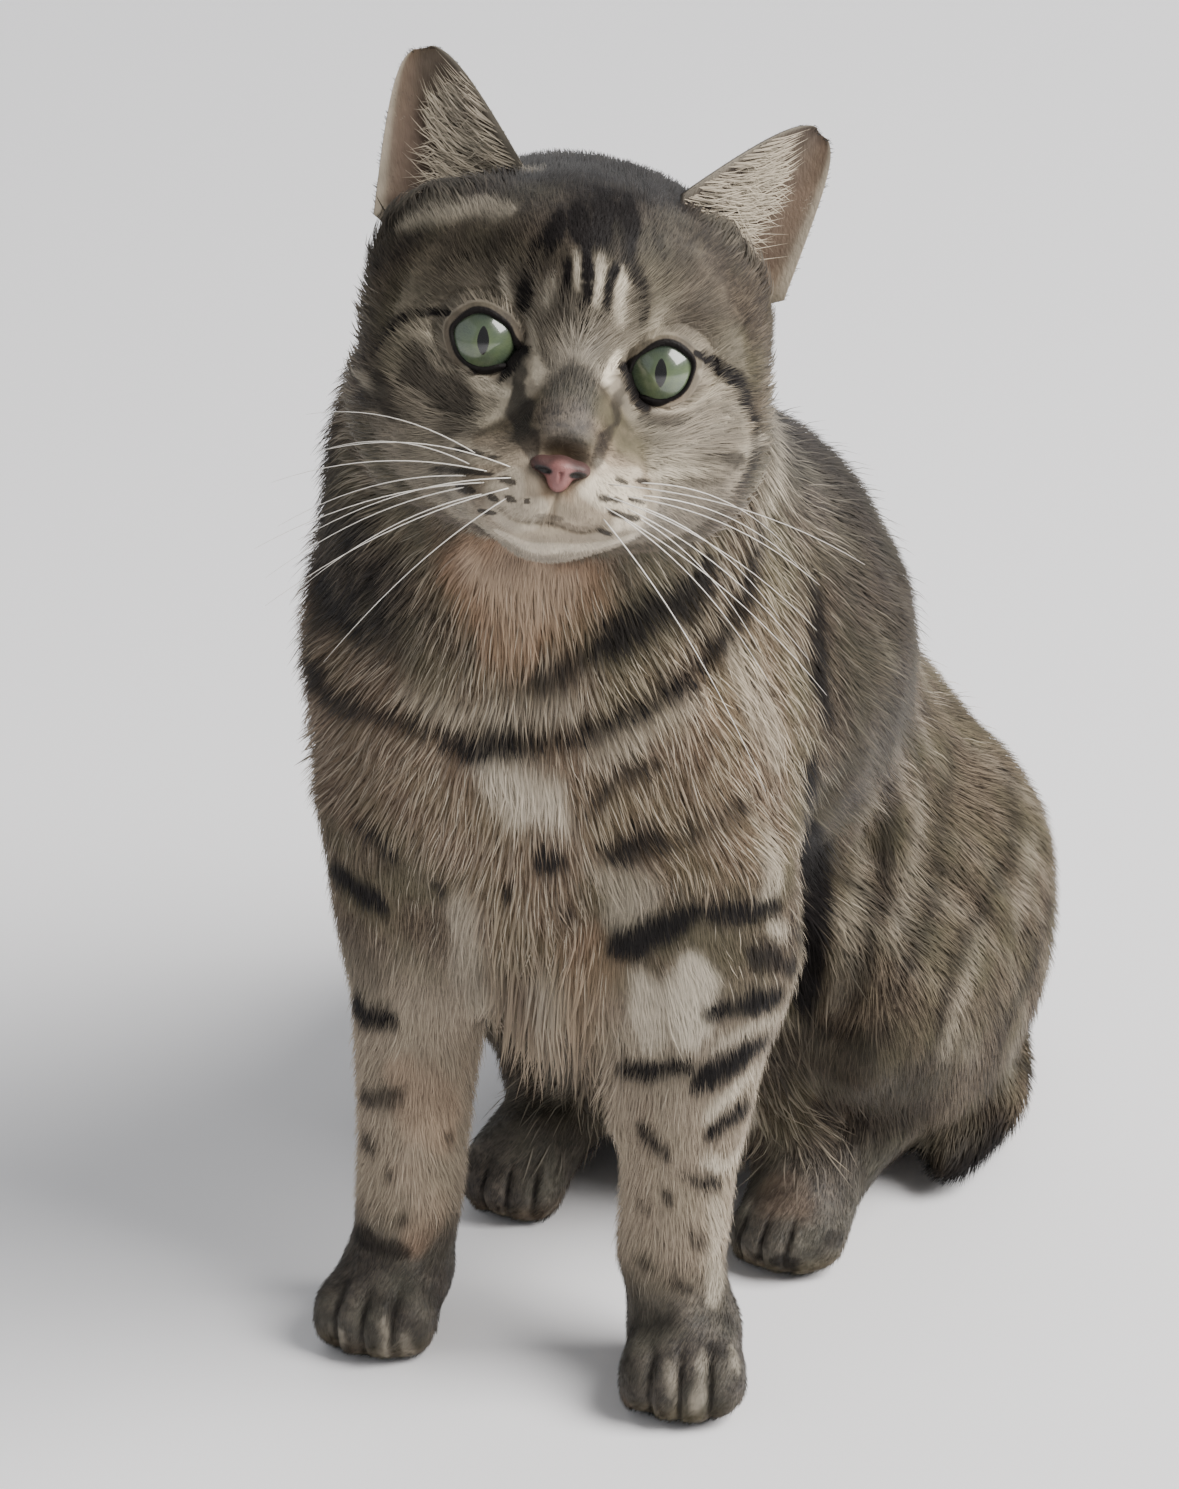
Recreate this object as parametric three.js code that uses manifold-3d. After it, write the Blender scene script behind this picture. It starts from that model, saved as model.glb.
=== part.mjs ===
// A stocky domestic cat sitting on its haunches, life size, as one still model.
// Millimetres, +Z up. The chest faces -Y and the cat's left side is +X; the floor is z = 0.
// The solids are the outside of the coat. One smooth distance field describes the whole body, each
// part is wrapped round its own spine on that field, and thin planar cuts divide the parts.
import * as THREE from "three";
import Module from "manifold-3d";
import { mergeVertices } from "three/addons/utils/BufferGeometryUtils.js";

const wasm = await Module();
wasm.setup();

const v = (x, y, z) => new THREE.Vector3(x, y, z);
const degrees = THREE.MathUtils.degToRad;
const SIDES = { right: -1, left: 1 };

// ---- Driving dimensions ----
const GAP = 0.3; // clear width of the cut between two parts
const EYE_SPACING = 39; // between the centres of the eyeballs
const EYE_RADIUS = 10.6;
const EYE_HEIGHT = 282.5; // the point midway between the eyeballs, above the floor
const HIND_STANCE = 75; // between the middles of the hind feet
const CHEST_LEAN = -8; // how far the chest leans towards the cat's right
// Each foreleg's places from right to left, and its paw's turn; the left one slants in to its wrist.
const FORELEG = {
  right: { paw: -44.5, wrist: -42, elbow: -42.5, turn: degrees(4) },
  left: { paw: 35, wrist: 27, elbow: 33.5, turn: degrees(16) },
};
const HEAD_TURN = { yaw: degrees(25), pitch: degrees(18), roll: degrees(11.5) };
const EAR_HEIGHT = 34;
const EAR_HALF_WIDTH = 18;

// ---- Distance fields: negative inside, in millimetres ----
function ellipsoid(centre, radii, turn = new THREE.Quaternion()) {
  const back = turn.clone().invert();
  const q = v(0, 0, 0);
  return (p) => {
    q.subVectors(p, centre).applyQuaternion(back);
    const near = Math.hypot(q.x / radii.x, q.y / radii.y, q.z / radii.z);
    const slope = Math.hypot(q.x / radii.x ** 2, q.y / radii.y ** 2, q.z / radii.z ** 2);
    return slope < 1e-9 ? -Math.min(radii.x, radii.y, radii.z) : (near * (near - 1)) / slope;
  };
}

// A rod with round ends whose radius changes evenly from one end to the other.
function rod(from, to, fromRadius, toRadius) {
  const along = v(0, 0, 0).subVectors(to, from);
  const length2 = along.lengthSq();
  const q = v(0, 0, 0);
  return (p) => {
    const t = THREE.MathUtils.clamp(q.subVectors(p, from).dot(along) / length2, 0, 1);
    return q.addScaledVector(along, -t).length() - THREE.MathUtils.lerp(fromRadius, toRadius, t);
  };
}

function smoothUnion(a, b, soft) {
  const h = Math.max(soft - Math.abs(a - b), 0) / soft;
  return Math.min(a, b) - (h * h * soft) / 4;
}

const smoothCut = (a, b, soft) => -smoothUnion(-a, b, soft);

// Joins shapes with fillets of about `soft` millimetres.
const joined = (soft, ...shapes) => (p) => shapes.reduce((d, s) => smoothUnion(d, s(p), soft), 1e3);

// A shape described in the frame of `matrix`, measured in the body's frame.
function placed(shape, matrix) {
  const back = matrix.clone().invert();
  const q = v(0, 0, 0);
  return (p) => shape(q.copy(p).applyMatrix4(back));
}

const tilt = (x, y = 0, z = 0) =>
  new THREE.Quaternion().setFromEuler(new THREE.Euler(degrees(x), degrees(y), degrees(z)));

// ---- The head, in its own frame: origin midway between the eyeballs, -Y out of the nose ----
const HEAD = new THREE.Matrix4()
  .makeRotationFromEuler(new THREE.Euler(-HEAD_TURN.pitch, HEAD_TURN.roll, HEAD_TURN.yaw, "ZXY"))
  .setPosition(20.5, -43, EYE_HEIGHT);

const eyeCentre = (side) => v((side * EYE_SPACING) / 2, 0, 0);

function headShapes() {
  const both = (make) => [make(-1), make(1)];
  const skull = joined(
    14,
    ellipsoid(v(0, 31, 11), v(42, 40, 31.5)), // braincase
    ellipsoid(v(0, 6, 12), v(31, 22, 25)), // forehead
    ellipsoid(v(0, 14, -26), v(30, 34, 20)), // throat
    ...both((s) => ellipsoid(v(s * 29, 12, -14), v(20, 24, 26))), // cheeks
    ellipsoid(v(-35, 16, 14), v(13, 13, 15)), // root of the right ear, which stands up
    ellipsoid(v(29, 18, 16), v(12, 12, 13)), // root of the left ear, which lies out
  );
  const face = joined(
    6,
    rod(v(0, -3, 3), v(0, -22, -18), 11.5, 9), // bridge of the nose
    ellipsoid(v(0, -25, -23), v(8.5, 8, 7.5)), // tip
    ellipsoid(v(0, -15, -39), v(11, 12, 8)), // chin
    ...both((s) => ellipsoid(v(s * 9.5, -19, -31), v(13.5, 13, 10.5), tilt(0, 0, s * 20))), // pads
    ...both((s) => ellipsoid(v(s * 21, 0, -17), v(15, 12, 9))), // cheekbones
    ...both((s) => ellipsoid(v(s * 19, 4, 14), v(14, 10, 8))), // brows
  );
  const orbits = joined(4, ...both((s) => ellipsoid(v(s * 22, -19, 0), v(15, 13, 12))));
  return (p) => smoothCut(smoothUnion(skull(p), face(p), 9), orbits(p), 9);
}
const head = placed(headShapes(), HEAD);

// ---- The trunk ----
const NECK_BASE = v(CHEST_LEAN - 2, 19, 232);
const CHEST = v(CHEST_LEAN, 20, 188);
const LOIN = v(0, 112, 128);
const RUMP = v(0, 158, 76);

const trunk = joined(
  26,
  rod(v(1, 3, 262), NECK_BASE, 45, 55), // neck
  ellipsoid(CHEST, v(54, 55, 62), tilt(-25)), // rib cage
  ellipsoid(v(9, 70, 173), v(55, 54, 57), tilt(-35)), // withers, turned a little to the left
  rod(v(-2, 70, 160), LOIN, 56, 56), // belly and back
  ellipsoid(RUMP, v(58, 54, 68), tilt(-18)), // rump
  ellipsoid(v(-2, 92, 64), v(42, 40, 54)), // belly, down between the thighs
  ellipsoid(v(CHEST_LEAN + 5, 8, 126), v(28, 28, 44)), // brisket, between the forelegs
);

// ---- The legs ----
const forePaw = (name) => v(FORELEG[name].paw, -5, 0);
const foreWrist = (name) => v(FORELEG[name].wrist, 3, 38);
const forePastern = (name) => v((FORELEG[name].paw + FORELEG[name].wrist) / 2, 0, 18);

function forelegShapes(name) {
  const elbow = v(FORELEG[name].elbow, 14, 112);
  const shoulder = v(SIDES[name] * 36 + CHEST_LEAN, 2, 180);
  return joined(
    8,
    rod(forePastern(name), foreWrist(name), 13, 11.8), // pastern, down into the paw
    rod(foreWrist(name), elbow, 14.3, 20.5),
    rod(elbow, shoulder, 23, 27),
  );
}

// A paw in its own frame: the floor is z = 0, and the toes point to -Y.
function pawShapes(width, length, height) {
  const toes = [-1.5, -0.5, 0.5, 1.5].map((k) => {
    const middle = 1 - Math.abs(k) / 3; // the two middle toes reach furthest
    const at = v((k * width) / 4.3, -length * (0.16 + 0.2 * middle), height * 0.36);
    return ellipsoid(at, v(width * 0.155, length * 0.2, height * 0.44));
  });
  const back = ellipsoid(v(0, length * 0.04, height * 0.5), v(width * 0.43, length * 0.42, height * 0.52));
  return (p) => smoothUnion(back(p), joined(2.5, ...toes)(p), 3.5);
}

const FORE_PAW = { width: 33.5, length: 47, height: 25 };
const HIND_PAW = { width: 32, length: 50, height: 23 };
const standing = (at, turn) => new THREE.Matrix4().makeRotationZ(turn).setPosition(at);

function forepawShapes(name) {
  const { width, length, height } = FORE_PAW;
  return placed(pawShapes(width, length, height), standing(forePaw(name), FORELEG[name].turn));
}

const hindPaw = (side) => v((side * HIND_STANCE) / 2, 72, 0);

function hindFootShapes(side) {
  const { width, length, height } = HIND_PAW;
  const toes = placed(pawShapes(width, length, height), standing(hindPaw(side), side * degrees(6)));
  const heel = v(side * 44, 160, 15);
  const instep = rod(hindPaw(side).setZ(14), heel, 13, 13);
  return joined(6, toes, instep);
}

function thighShapes(side) {
  const knee = v(side * 51, 86, 68);
  const hip = v(side * 42, 158, 78);
  return joined(
    16,
    ellipsoid(v(side * 51, 134, 60), v(33.5, 57, 51), tilt(-18)), // thigh muscle
    rod(hip, knee, 33, 24),
    rod(knee, v(side * 47, 138, 32), 22, 20), // shin, folded under the thigh
  );
}

// ---- The tail: from the rump it loops behind and lies along the cat's left ----
const TAIL_RADIUS = { root: 17, tip: 9 };
const tailLine = new THREE.CatmullRomCurve3([
  v(0, 186, 32),
  v(-11, 209, 21),
  v(-2, 227, 15),
  v(24, 227, 14),
  v(46, 206, 13),
  v(60, 175, 12.5),
  v(70, 143, 11),
  v(66, 110, 9.5),
]);
const TAIL_STEPS = 40;
const tailRadius = (t) => THREE.MathUtils.lerp(TAIL_RADIUS.root, TAIL_RADIUS.tip, t ** 0.8);

function tailShapes() {
  const points = tailLine.getPoints(TAIL_STEPS);
  const rods = points.slice(1).map((p, i) => {
    const t = i / TAIL_STEPS;
    return rod(points[i], p, tailRadius(t), tailRadius(t + 1 / TAIL_STEPS));
  });
  return (p) => Math.min(...rods.map((r) => r(p)));
}

// ---- The whole body, but for the tail ----
const forelegs = Object.keys(SIDES).map(forelegShapes);
const forepaws = Object.keys(SIDES).map(forepawShapes);
const hindFeet = Object.values(SIDES).map(hindFootShapes);
const thighs = Object.values(SIDES).map(thighShapes);
const tail = tailShapes();

function body(p) {
  let d = smoothUnion(trunk(p), head(p), 16);
  for (const leg of forelegs) d = smoothUnion(d, leg(p), 14);
  for (const paw of forepaws) d = smoothUnion(d, paw(p), 7);
  for (const thigh of thighs) d = smoothUnion(d, thigh(p), 16);
  for (const foot of hindFeet) d = smoothUnion(d, foot(p), 8);
  return d;
}

// ---- From field to solid ----
function solidFrom(geometry) {
  geometry.deleteAttribute("normal");
  geometry.deleteAttribute("uv");
  const merged = mergeVertices(geometry, 1e-3);
  const vertProperties = merged.attributes.position.array;
  const triVerts = new Uint32Array(merged.index.array);
  return new wasm.Manifold(new wasm.Mesh({ numProp: 3, vertProperties, triVerts }));
}

// How far a ray goes from a point inside the field before it first leaves it.
function exitDistance(field, origin, direction, reach) {
  const p = v(0, 0, 0);
  const at = (t) => field(p.copy(origin).addScaledVector(direction, t));
  let inside = 0;
  let outside = 0;
  for (let d = at(0); d < 0 && outside < reach; d = at(outside)) {
    inside = outside;
    outside += Math.max(0.6, -d * 0.7);
  }
  for (let i = 0; i < 20 && outside < reach; i++) {
    const middle = (inside + outside) / 2;
    if (at(middle) < 0) inside = middle;
    else outside = middle;
  }
  return Math.min(outside, reach);
}

// A closed mesh round a spine. Its rays fan out over each end and leave the sides squarely.
function wrap(field, spine, { rings, sides, reach, caps = 0.5, across = v(1, 0, 0) }) {
  const line = new THREE.CatmullRomCurve3(spine);
  const tipRings = Math.round((rings * caps) / 2);
  const rows = [];
  for (let i = 0; i <= rings; i++) {
    const atStart = i < tipRings;
    const atEnd = i > rings - tipRings;
    const t = THREE.MathUtils.clamp((i - tipRings) / Math.max(rings - 2 * tipRings, 1), 0, 1);
    const slant = atStart ? 1 - i / tipRings : atEnd ? (rings - i) / tipRings - 1 : 0;
    const origin = line.getPoint(t);
    const along = line.getTangent(t);
    const aside = across.clone().projectOnPlane(along).normalize();
    const up = v(0, 0, 0).crossVectors(along, aside);
    const lean = slant * (Math.PI / 2);
    const count = i === 0 || i === rings ? 1 : sides;
    rows.push(
      Array.from({ length: count }, (_, j) => {
        const turn = (2 * Math.PI * j) / sides;
        const direction = v(0, 0, 0)
          .addScaledVector(aside, Math.cos(turn) * Math.cos(lean))
          .addScaledVector(up, Math.sin(turn) * Math.cos(lean))
          .addScaledVector(along, -Math.sin(lean));
        return origin.clone().addScaledVector(direction, exitDistance(field, origin, direction, reach));
      }),
    );
  }
  return solidFrom(skinOver(rows));
}

// Triangles over rows of points, each row a closed ring or a single point.
function skinOver(rows) {
  const triangles = [];
  for (let i = 1; i < rows.length; i++) {
    const [low, high] = [rows[i - 1], rows[i]];
    const count = Math.max(low.length, high.length);
    for (let j = 0; j < count; j++) {
      const [a, b] = [low[j % low.length], low[(j + 1) % low.length]];
      const [c, d] = [high[j % high.length], high[(j + 1) % high.length]];
      if (low.length > 1) triangles.push(a, b, c);
      if (high.length > 1) triangles.push(b, d, c);
    }
  }
  return new THREE.BufferGeometry().setFromPoints(triangles);
}

// A region that claims its part of the body: the inside belongs to one part, the rest keeps GAP away.
function region(geometryOf, matrix = new THREE.Matrix4()) {
  return {
    inside: solidFrom(geometryOf(0).applyMatrix4(matrix)),
    grown: solidFrom(geometryOf(GAP).applyMatrix4(matrix)),
  };
}

const boxRegion = (low, high, turn = new THREE.Quaternion()) => {
  const size = v(0, 0, 0).subVectors(high, low);
  const middle = v(0, 0, 0).addVectors(low, high).multiplyScalar(0.5);
  const matrix = new THREE.Matrix4().makeRotationFromQuaternion(turn).setPosition(middle);
  return region((g) => new THREE.BoxGeometry(size.x + 2 * g, size.y + 2 * g, size.z + 2 * g), matrix);
};

const ballRegion = (centre, radii, turn = new THREE.Quaternion()) => {
  const matrix = new THREE.Matrix4().makeRotationFromQuaternion(turn).setPosition(centre);
  return region((g) => {
    const ball = new THREE.SphereGeometry(1, 16, 12);
    return ball.scale(radii.x + g, radii.y + g, radii.z + g);
  }, matrix);
};

// Keeps what lies in front of a plane: `normal` points into the part that is kept.
const beyond = (solid, point, normal) => {
  const n = normal.clone().normalize();
  return solid.trimByPlane([n.x, n.y, n.z], n.dot(point) + GAP / 2);
};

const onFloor = (solid) => solid.trimByPlane([0, 0, 1], 0);

const largest = (solid) =>
  solid.decompose().reduce((best, s) => (s.volume() > best.volume() ? s : best));

// ---- Colours ----
const COAT = { color: 0x756a5e, roughness: 0.9, metalness: 0 };
const IRIS = { color: 0x8fae8a, roughness: 0.08, metalness: 0 };
const NOSE = { color: 0x8a5350, roughness: 0.55, metalness: 0 };

const cat = new THREE.Group();
function add(name, solid, finish = COAT) {
  const mesh = largest(solid).getMesh();
  const geometry = new THREE.BufferGeometry();
  geometry.setAttribute("position", new THREE.BufferAttribute(mesh.vertProperties, 3));
  geometry.setIndex(new THREE.BufferAttribute(mesh.triVerts, 1));
  geometry.computeVertexNormals();
  const part = new THREE.Mesh(geometry, new THREE.MeshStandardMaterial(finish));
  part.name = name;
  cat.add(part);
}

// ---- Eyes: whole balls, sunk in sockets that the lids' edge leaves open ----
const inHead = (x, y, z) => v(x, y, z).applyMatrix4(HEAD);

function eye(side) {
  const ball = new THREE.SphereGeometry(EYE_RADIUS, 15, 9);
  return solidFrom(ball.translate(...eyeCentre(side)).applyMatrix4(HEAD));
}
const sockets = Object.values(SIDES).map((side) => {
  const ball = new THREE.SphereGeometry(EYE_RADIUS + GAP, 15, 9);
  return solidFrom(ball.translate(...eyeCentre(side)).applyMatrix4(HEAD));
});

// ---- Nose leather: a rounded wedge on the tip of the muzzle ----
const noseShape = placed(
  joined(
    2.5,
    ellipsoid(v(0, -30.5, -22.5), v(6.5, 4.5, 3.4)),
    rod(v(0, -32, -23), v(0, -31, -28.5), 3.6, 1.6),
  ),
  HEAD,
);
const noseSpine = [inHead(0, -29, -23), inHead(0, -31, -25)];
const noseSteps = { rings: 10, sides: 12, reach: 14 };
const nose = wrap(noseShape, noseSpine, noseSteps);
const noseRoom = wrap((p) => noseShape(p) - GAP, noseSpine, noseSteps);

// ---- Ears: cupped shells that stand on the skull and open forwards ----
const EAR_THICKNESS = { middle: 2.6, rim: 1.2 };
const EAR_SINK = 9; // how far the shell goes on below the skull's surface
const EAR_CUP = 9;

// One point of the ear's middle surface: u across from the inner to the outer edge, h up from 0 to 1.
function earPoint(u, h) {
  const z = (EAR_HEIGHT + EAR_SINK) * h - EAR_SINK;
  const left = (EAR_HEIGHT - z) / EAR_HEIGHT; // 1 at the skull, 0 at the tip
  const taper = left < 1 ? left ** 0.4 * (0.78 + 0.22 * left) : 1 - 1.1 * (left - 1);
  const half = EAR_HALF_WIDTH * taper;
  const cup = EAR_CUP * (1 - u * u) * taper - 3 * h * h;
  return v(half * u, cup, z);
}

function earGeometry(columns = 6, rows = 8) {
  const sheet = (offset) => {
    const points = [];
    for (let j = 0; j <= rows; j++) {
      for (let i = 0; i <= columns; i++) {
        const u = (2 * i) / columns - 1;
        const h = 0.985 * Math.sin((Math.PI / 2) * (j / rows)); // closer rows near the tip
        const thick = THREE.MathUtils.lerp(EAR_THICKNESS.middle, EAR_THICKNESS.rim, Math.max(u * u, h * h));
        points.push(earPoint(u, h).add(v(0, (offset * thick) / 2, 0)));
      }
    }
    return points;
  };
  const [front, back] = [sheet(-1), sheet(1)];
  const at = (i, j) => j * (columns + 1) + i;
  const triangles = [];
  const quad = (a, b, c, d) => triangles.push(a, b, c, a, c, d);
  for (let j = 0; j < rows; j++) {
    for (let i = 0; i < columns; i++) {
      const cell = [at(i, j), at(i + 1, j), at(i + 1, j + 1), at(i, j + 1)];
      quad(...cell.map((k) => front[k]));
      quad(...cell.reverse().map((k) => back[k]));
    }
    quad(front[at(0, j)], front[at(0, j + 1)], back[at(0, j + 1)], back[at(0, j)]);
    quad(back[at(columns, j)], back[at(columns, j + 1)], front[at(columns, j + 1)], front[at(columns, j)]);
  }
  for (let i = 0; i < columns; i++) {
    quad(back[at(i, 0)], back[at(i + 1, 0)], front[at(i + 1, 0)], front[at(i, 0)]);
    quad(front[at(i, rows)], front[at(i + 1, rows)], back[at(i + 1, rows)], back[at(i, rows)]);
  }
  return new THREE.BufferGeometry().setFromPoints(triangles);
}

const EAR_POSE = {
  left: { base: v(31.5, 18, 28), lean: degrees(32), open: degrees(26), back: degrees(-6) },
  right: { base: v(-31, 18, 27.5), lean: degrees(-22), open: degrees(-8), back: degrees(-6) },
};

function ear(name) {
  const { base, lean, open, back } = EAR_POSE[name];
  const stand = new THREE.Matrix4()
    .makeRotationFromEuler(new THREE.Euler(back, lean, open, "ZYX"))
    .setPosition(base);
  const mirror = new THREE.Matrix4().makeScale(SIDES[name], 1, 1);
  const geometry = earGeometry().applyMatrix4(mirror);
  if (SIDES[name] < 0) flip(geometry);
  return solidFrom(geometry.applyMatrix4(stand).applyMatrix4(HEAD));
}

// Turns every triangle over, after a mirroring matrix.
function flip(geometry) {
  const { array } = geometry.attributes.position;
  for (let i = 0; i < array.length; i += 9) {
    for (let k = 0; k < 3; k++) [array[i + 3 + k], array[i + 6 + k]] = [array[i + 6 + k], array[i + 3 + k]];
  }
}

// ---- Where the parts meet ----
const NAPE = { point: v(6, 6, 246), normal: v(0.12, -0.55, 0.83) };
const COLLAR = { point: v(CHEST_LEAN, 10, 216), normal: v(0.05, -0.45, 0.89) };
const WAIST = { point: v(0, 92, 130), normal: v(0, -0.85, 0.53) };
const opposite = ({ point, normal }) => ({ point, normal: normal.clone().negate() });
const cut = (solid, { point, normal }) => beyond(solid, point, normal);

const LEG_LEAN = -2.5; // how far the box round each foreleg leans towards the cat's right
const legRegion = (side) =>
  boxRegion(v(side * 47 - 34 + LEG_LEAN, -75, -10), v(side * 47 + 34 + LEG_LEAN, 47, 148));
const pawRegion = (side) => boxRegion(v(side * 40 - 39.5, -80, -12), v(side * 40 + 37.5, 30, 33));
const thighRegion = (side) =>
  ballRegion(v(side * 64, 126, 64), v(36, 70, 70), tilt(-22));
const footRegion = (side) => boxRegion(v(side * 41 - 21, 30, -10), v(side * 41 + 21, 182, 27));

const regions = Object.fromEntries(
  Object.entries(SIDES).map(([name, side]) => [
    name,
    { leg: legRegion(side), paw: pawRegion(side), thigh: thighRegion(side), foot: footRegion(side) },
  ]),
);

// ---- Head, neck and trunk ----
const headSpine = [inHead(0, 10, -10), inHead(0, 36, 2)];
const headSteps = { rings: 27, sides: 32, reach: 100, caps: 0.85 };
const headWrap = wrap(body, headSpine, headSteps);
const headRoom = wrap((p) => body(p) - GAP, headSpine, headSteps);
let headSolid = cut(headWrap, NAPE);
for (const socket of sockets) headSolid = headSolid.subtract(socket);
add("head", headSolid.subtract(noseRoom));
add("nose", nose, NOSE);
for (const [name, side] of Object.entries(SIDES)) {
  add("eye_" + name, eye(side), IRIS);
  add("ear_" + name, ear(name).subtract(headRoom));
}

const neckWrap = wrap(body, [v(6, -2, 268), v(CHEST_LEAN, 24, 200)], { rings: 12, sides: 24, reach: 90 });
add("neck", cut(cut(neckWrap, opposite(NAPE)), COLLAR));

const chestSpine = [v(CHEST_LEAN, 18, 236), v(-4, 52, 166), v(-4, 56, 138)];
let chest = wrap(body, chestSpine, { rings: 20, sides: 22, reach: 120, caps: 0.7 });
chest = cut(cut(chest, opposite(COLLAR)), WAIST);
let rump = wrap(body, [v(0, 74, 140), v(0, 150, 64)], { rings: 14, sides: 18, reach: 120 });
rump = onFloor(cut(rump, opposite(WAIST)));
for (const { leg, thigh, foot } of Object.values(regions)) {
  chest = chest.subtract(leg.grown).subtract(thigh.grown).subtract(foot.grown);
  rump = rump.subtract(thigh.grown).subtract(foot.grown);
}
const tailSpine = tailLine.getPoints(16);
const tailSteps = { rings: 30, sides: 10, reach: 30, caps: 0.16, across: v(0, 0, 1) };
const tailRoom = wrap((p) => tail(p) - GAP, tailSpine, tailSteps);
add("chest", chest);
add("rump", rump.subtract(tailRoom));

// ---- Legs ----
for (const [name, side] of Object.entries(SIDES)) {
  const { leg, paw, thigh, foot } = regions[name];
  const legSpine = [v(side * 38, 12, 140), foreWrist(name).setZ(30)];
  const legWrap = wrap(body, legSpine, { rings: 10, sides: 16, reach: 48 });
  add("foreleg_" + name, legWrap.intersect(leg.inside).subtract(paw.grown));
  const toes = forePaw(name);
  const pawSpine = [v(toes.x, toes.y + 8, 14), v(toes.x, toes.y - 8, 12)];
  const pawWrap = wrap(body, pawSpine, { rings: 11, sides: 16, reach: 40, caps: 0.7 });
  add("forepaw_" + name, onFloor(pawWrap.intersect(paw.inside)));

  const thighWrap = wrap(body, [v(side * 46, 150, 88), v(side * 50, 96, 74)], {
    rings: 13,
    sides: 16,
    reach: 90,
  });
  const thighSolid = thighWrap.intersect(thigh.inside).subtract(foot.grown).subtract(leg.grown);
  add("thigh_" + name, thighSolid.subtract(tailRoom));
  const heel = v(side * 46, 160, 13);
  const hind = hindPaw(side);
  const footWrap = wrap(body, [heel, v(hind.x, hind.y - 6, 12)], { rings: 13, sides: 14, reach: 34, caps: 0.6 });
  add("hind_foot_" + name, onFloor(footWrap.intersect(foot.inside)).subtract(tailRoom));
}

// ---- Tail, in three lengths ----
const TAIL_LENGTHS = 3;
const tailNames = ["tail_root", "tail_middle", "tail_tip"];
const whole = onFloor(wrap(tail, tailSpine, tailSteps));
const split = (t) => ({ point: tailLine.getPointAt(t), normal: tailLine.getTangentAt(t) });
tailNames.forEach((name, i) => {
  let piece = whole;
  if (i > 0) piece = cut(piece, split(i / TAIL_LENGTHS));
  if (i < TAIL_LENGTHS - 1) piece = cut(piece, opposite(split((i + 1) / TAIL_LENGTHS)));
  add(name, piece);
});

// ---- The frame: x and y from the middle of the whole, z from the floor ----
const bounds = new THREE.Box3().setFromObject(cat);
const middle = bounds.getCenter(v(0, 0, 0));
cat.position.set(-middle.x, -middle.y, 0);

export default cat;
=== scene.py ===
"""The looks of a seated tabby cat: one skin, its coat in solid tufts, eyes, lids, nose and whiskers.

Lengths are in millimetres in the cat's own axes: chest to -Y, the cat's left to +X, floor at z = 0.
Only `place` turns them into the frame's metres.
"""

import bmesh
import bpy
import numpy as np
import openvdb as vdb
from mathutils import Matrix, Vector


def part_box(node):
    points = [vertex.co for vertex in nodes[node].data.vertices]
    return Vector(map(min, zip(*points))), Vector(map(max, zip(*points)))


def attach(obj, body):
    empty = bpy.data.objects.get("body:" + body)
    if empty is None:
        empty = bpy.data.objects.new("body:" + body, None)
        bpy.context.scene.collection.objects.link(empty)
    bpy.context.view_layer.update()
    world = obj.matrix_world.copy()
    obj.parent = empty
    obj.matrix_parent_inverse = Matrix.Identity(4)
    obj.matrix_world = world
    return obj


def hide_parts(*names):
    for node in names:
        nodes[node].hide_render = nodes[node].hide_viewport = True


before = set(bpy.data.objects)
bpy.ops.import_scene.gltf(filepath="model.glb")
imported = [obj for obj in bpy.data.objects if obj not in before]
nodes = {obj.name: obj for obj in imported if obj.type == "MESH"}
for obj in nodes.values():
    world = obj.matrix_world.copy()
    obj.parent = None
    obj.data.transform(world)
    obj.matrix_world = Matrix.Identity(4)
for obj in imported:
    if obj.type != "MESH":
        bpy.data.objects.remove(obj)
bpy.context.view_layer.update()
rng = np.random.default_rng(11)


# ---- Small helpers, for arrays of numbers or of points ----
def step(x, low, high):
    """0 below `low`, 1 above `high`, smooth between; `low` may be the larger."""
    t = np.clip((np.asarray(x, float) - low) / (high - low), 0, 1)
    return t * t * (3 - 2 * t)


def bell(x, width):
    """1 at 0, falling smoothly to nothing over a few times `width`."""
    return np.exp(-((x / width) ** 2))


def unit(a):
    """Vectors brought to length 1."""
    return a / np.maximum(np.linalg.norm(a, axis=-1, keepdims=True), 1e-9)


def mix(a, b, t):
    """`a` where t is 0, `b` where it is 1."""
    return a + (b - a) * t


def turn(axis, degrees):
    """The 3 x 3 matrix of a turn about x, y or z (0, 1 or 2)."""
    c, s = np.cos(np.radians(degrees)), np.sin(np.radians(degrees))
    i, j = [(1, 2), (2, 0), (0, 1)][axis]
    m = np.eye(3)
    m[i, i] = m[j, j] = c
    m[i, j], m[j, i] = -s, s
    return m


def waves(p, size, seed):
    """Smooth noise between about -1 and 1, whose lumps are `size` millimetres across."""
    r = np.random.default_rng(seed)
    total = np.zeros(len(p))
    for _ in range(7):
        k = unit(r.normal(size=3)) * (2 * np.pi / size) * r.uniform(0.35, 0.8)
        total += np.sin(p @ k + r.uniform(0, 6.28))
    return total / 3.2


def near_line(p, points):
    """Distance from each point to a polyline, and how far along the line that is, from 0 to 1."""
    points = np.asarray(points, float)
    best = np.full(len(p), 1e9)
    along = np.zeros(len(p))
    lengths = np.linalg.norm(np.diff(points, axis=0), axis=1)
    starts = np.concatenate([[0], np.cumsum(lengths)])
    for i, length in enumerate(lengths):
        d = (points[i + 1] - points[i]) / length
        t = np.clip((p - points[i]) @ d, 0, length)
        distance = np.linalg.norm(p - points[i] - t[:, None] * d, axis=1)
        closer = distance < best
        best[closer] = distance[closer]
        along[closer] = (starts[i] + t[closer]) / starts[-1]
    return best, along


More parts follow.
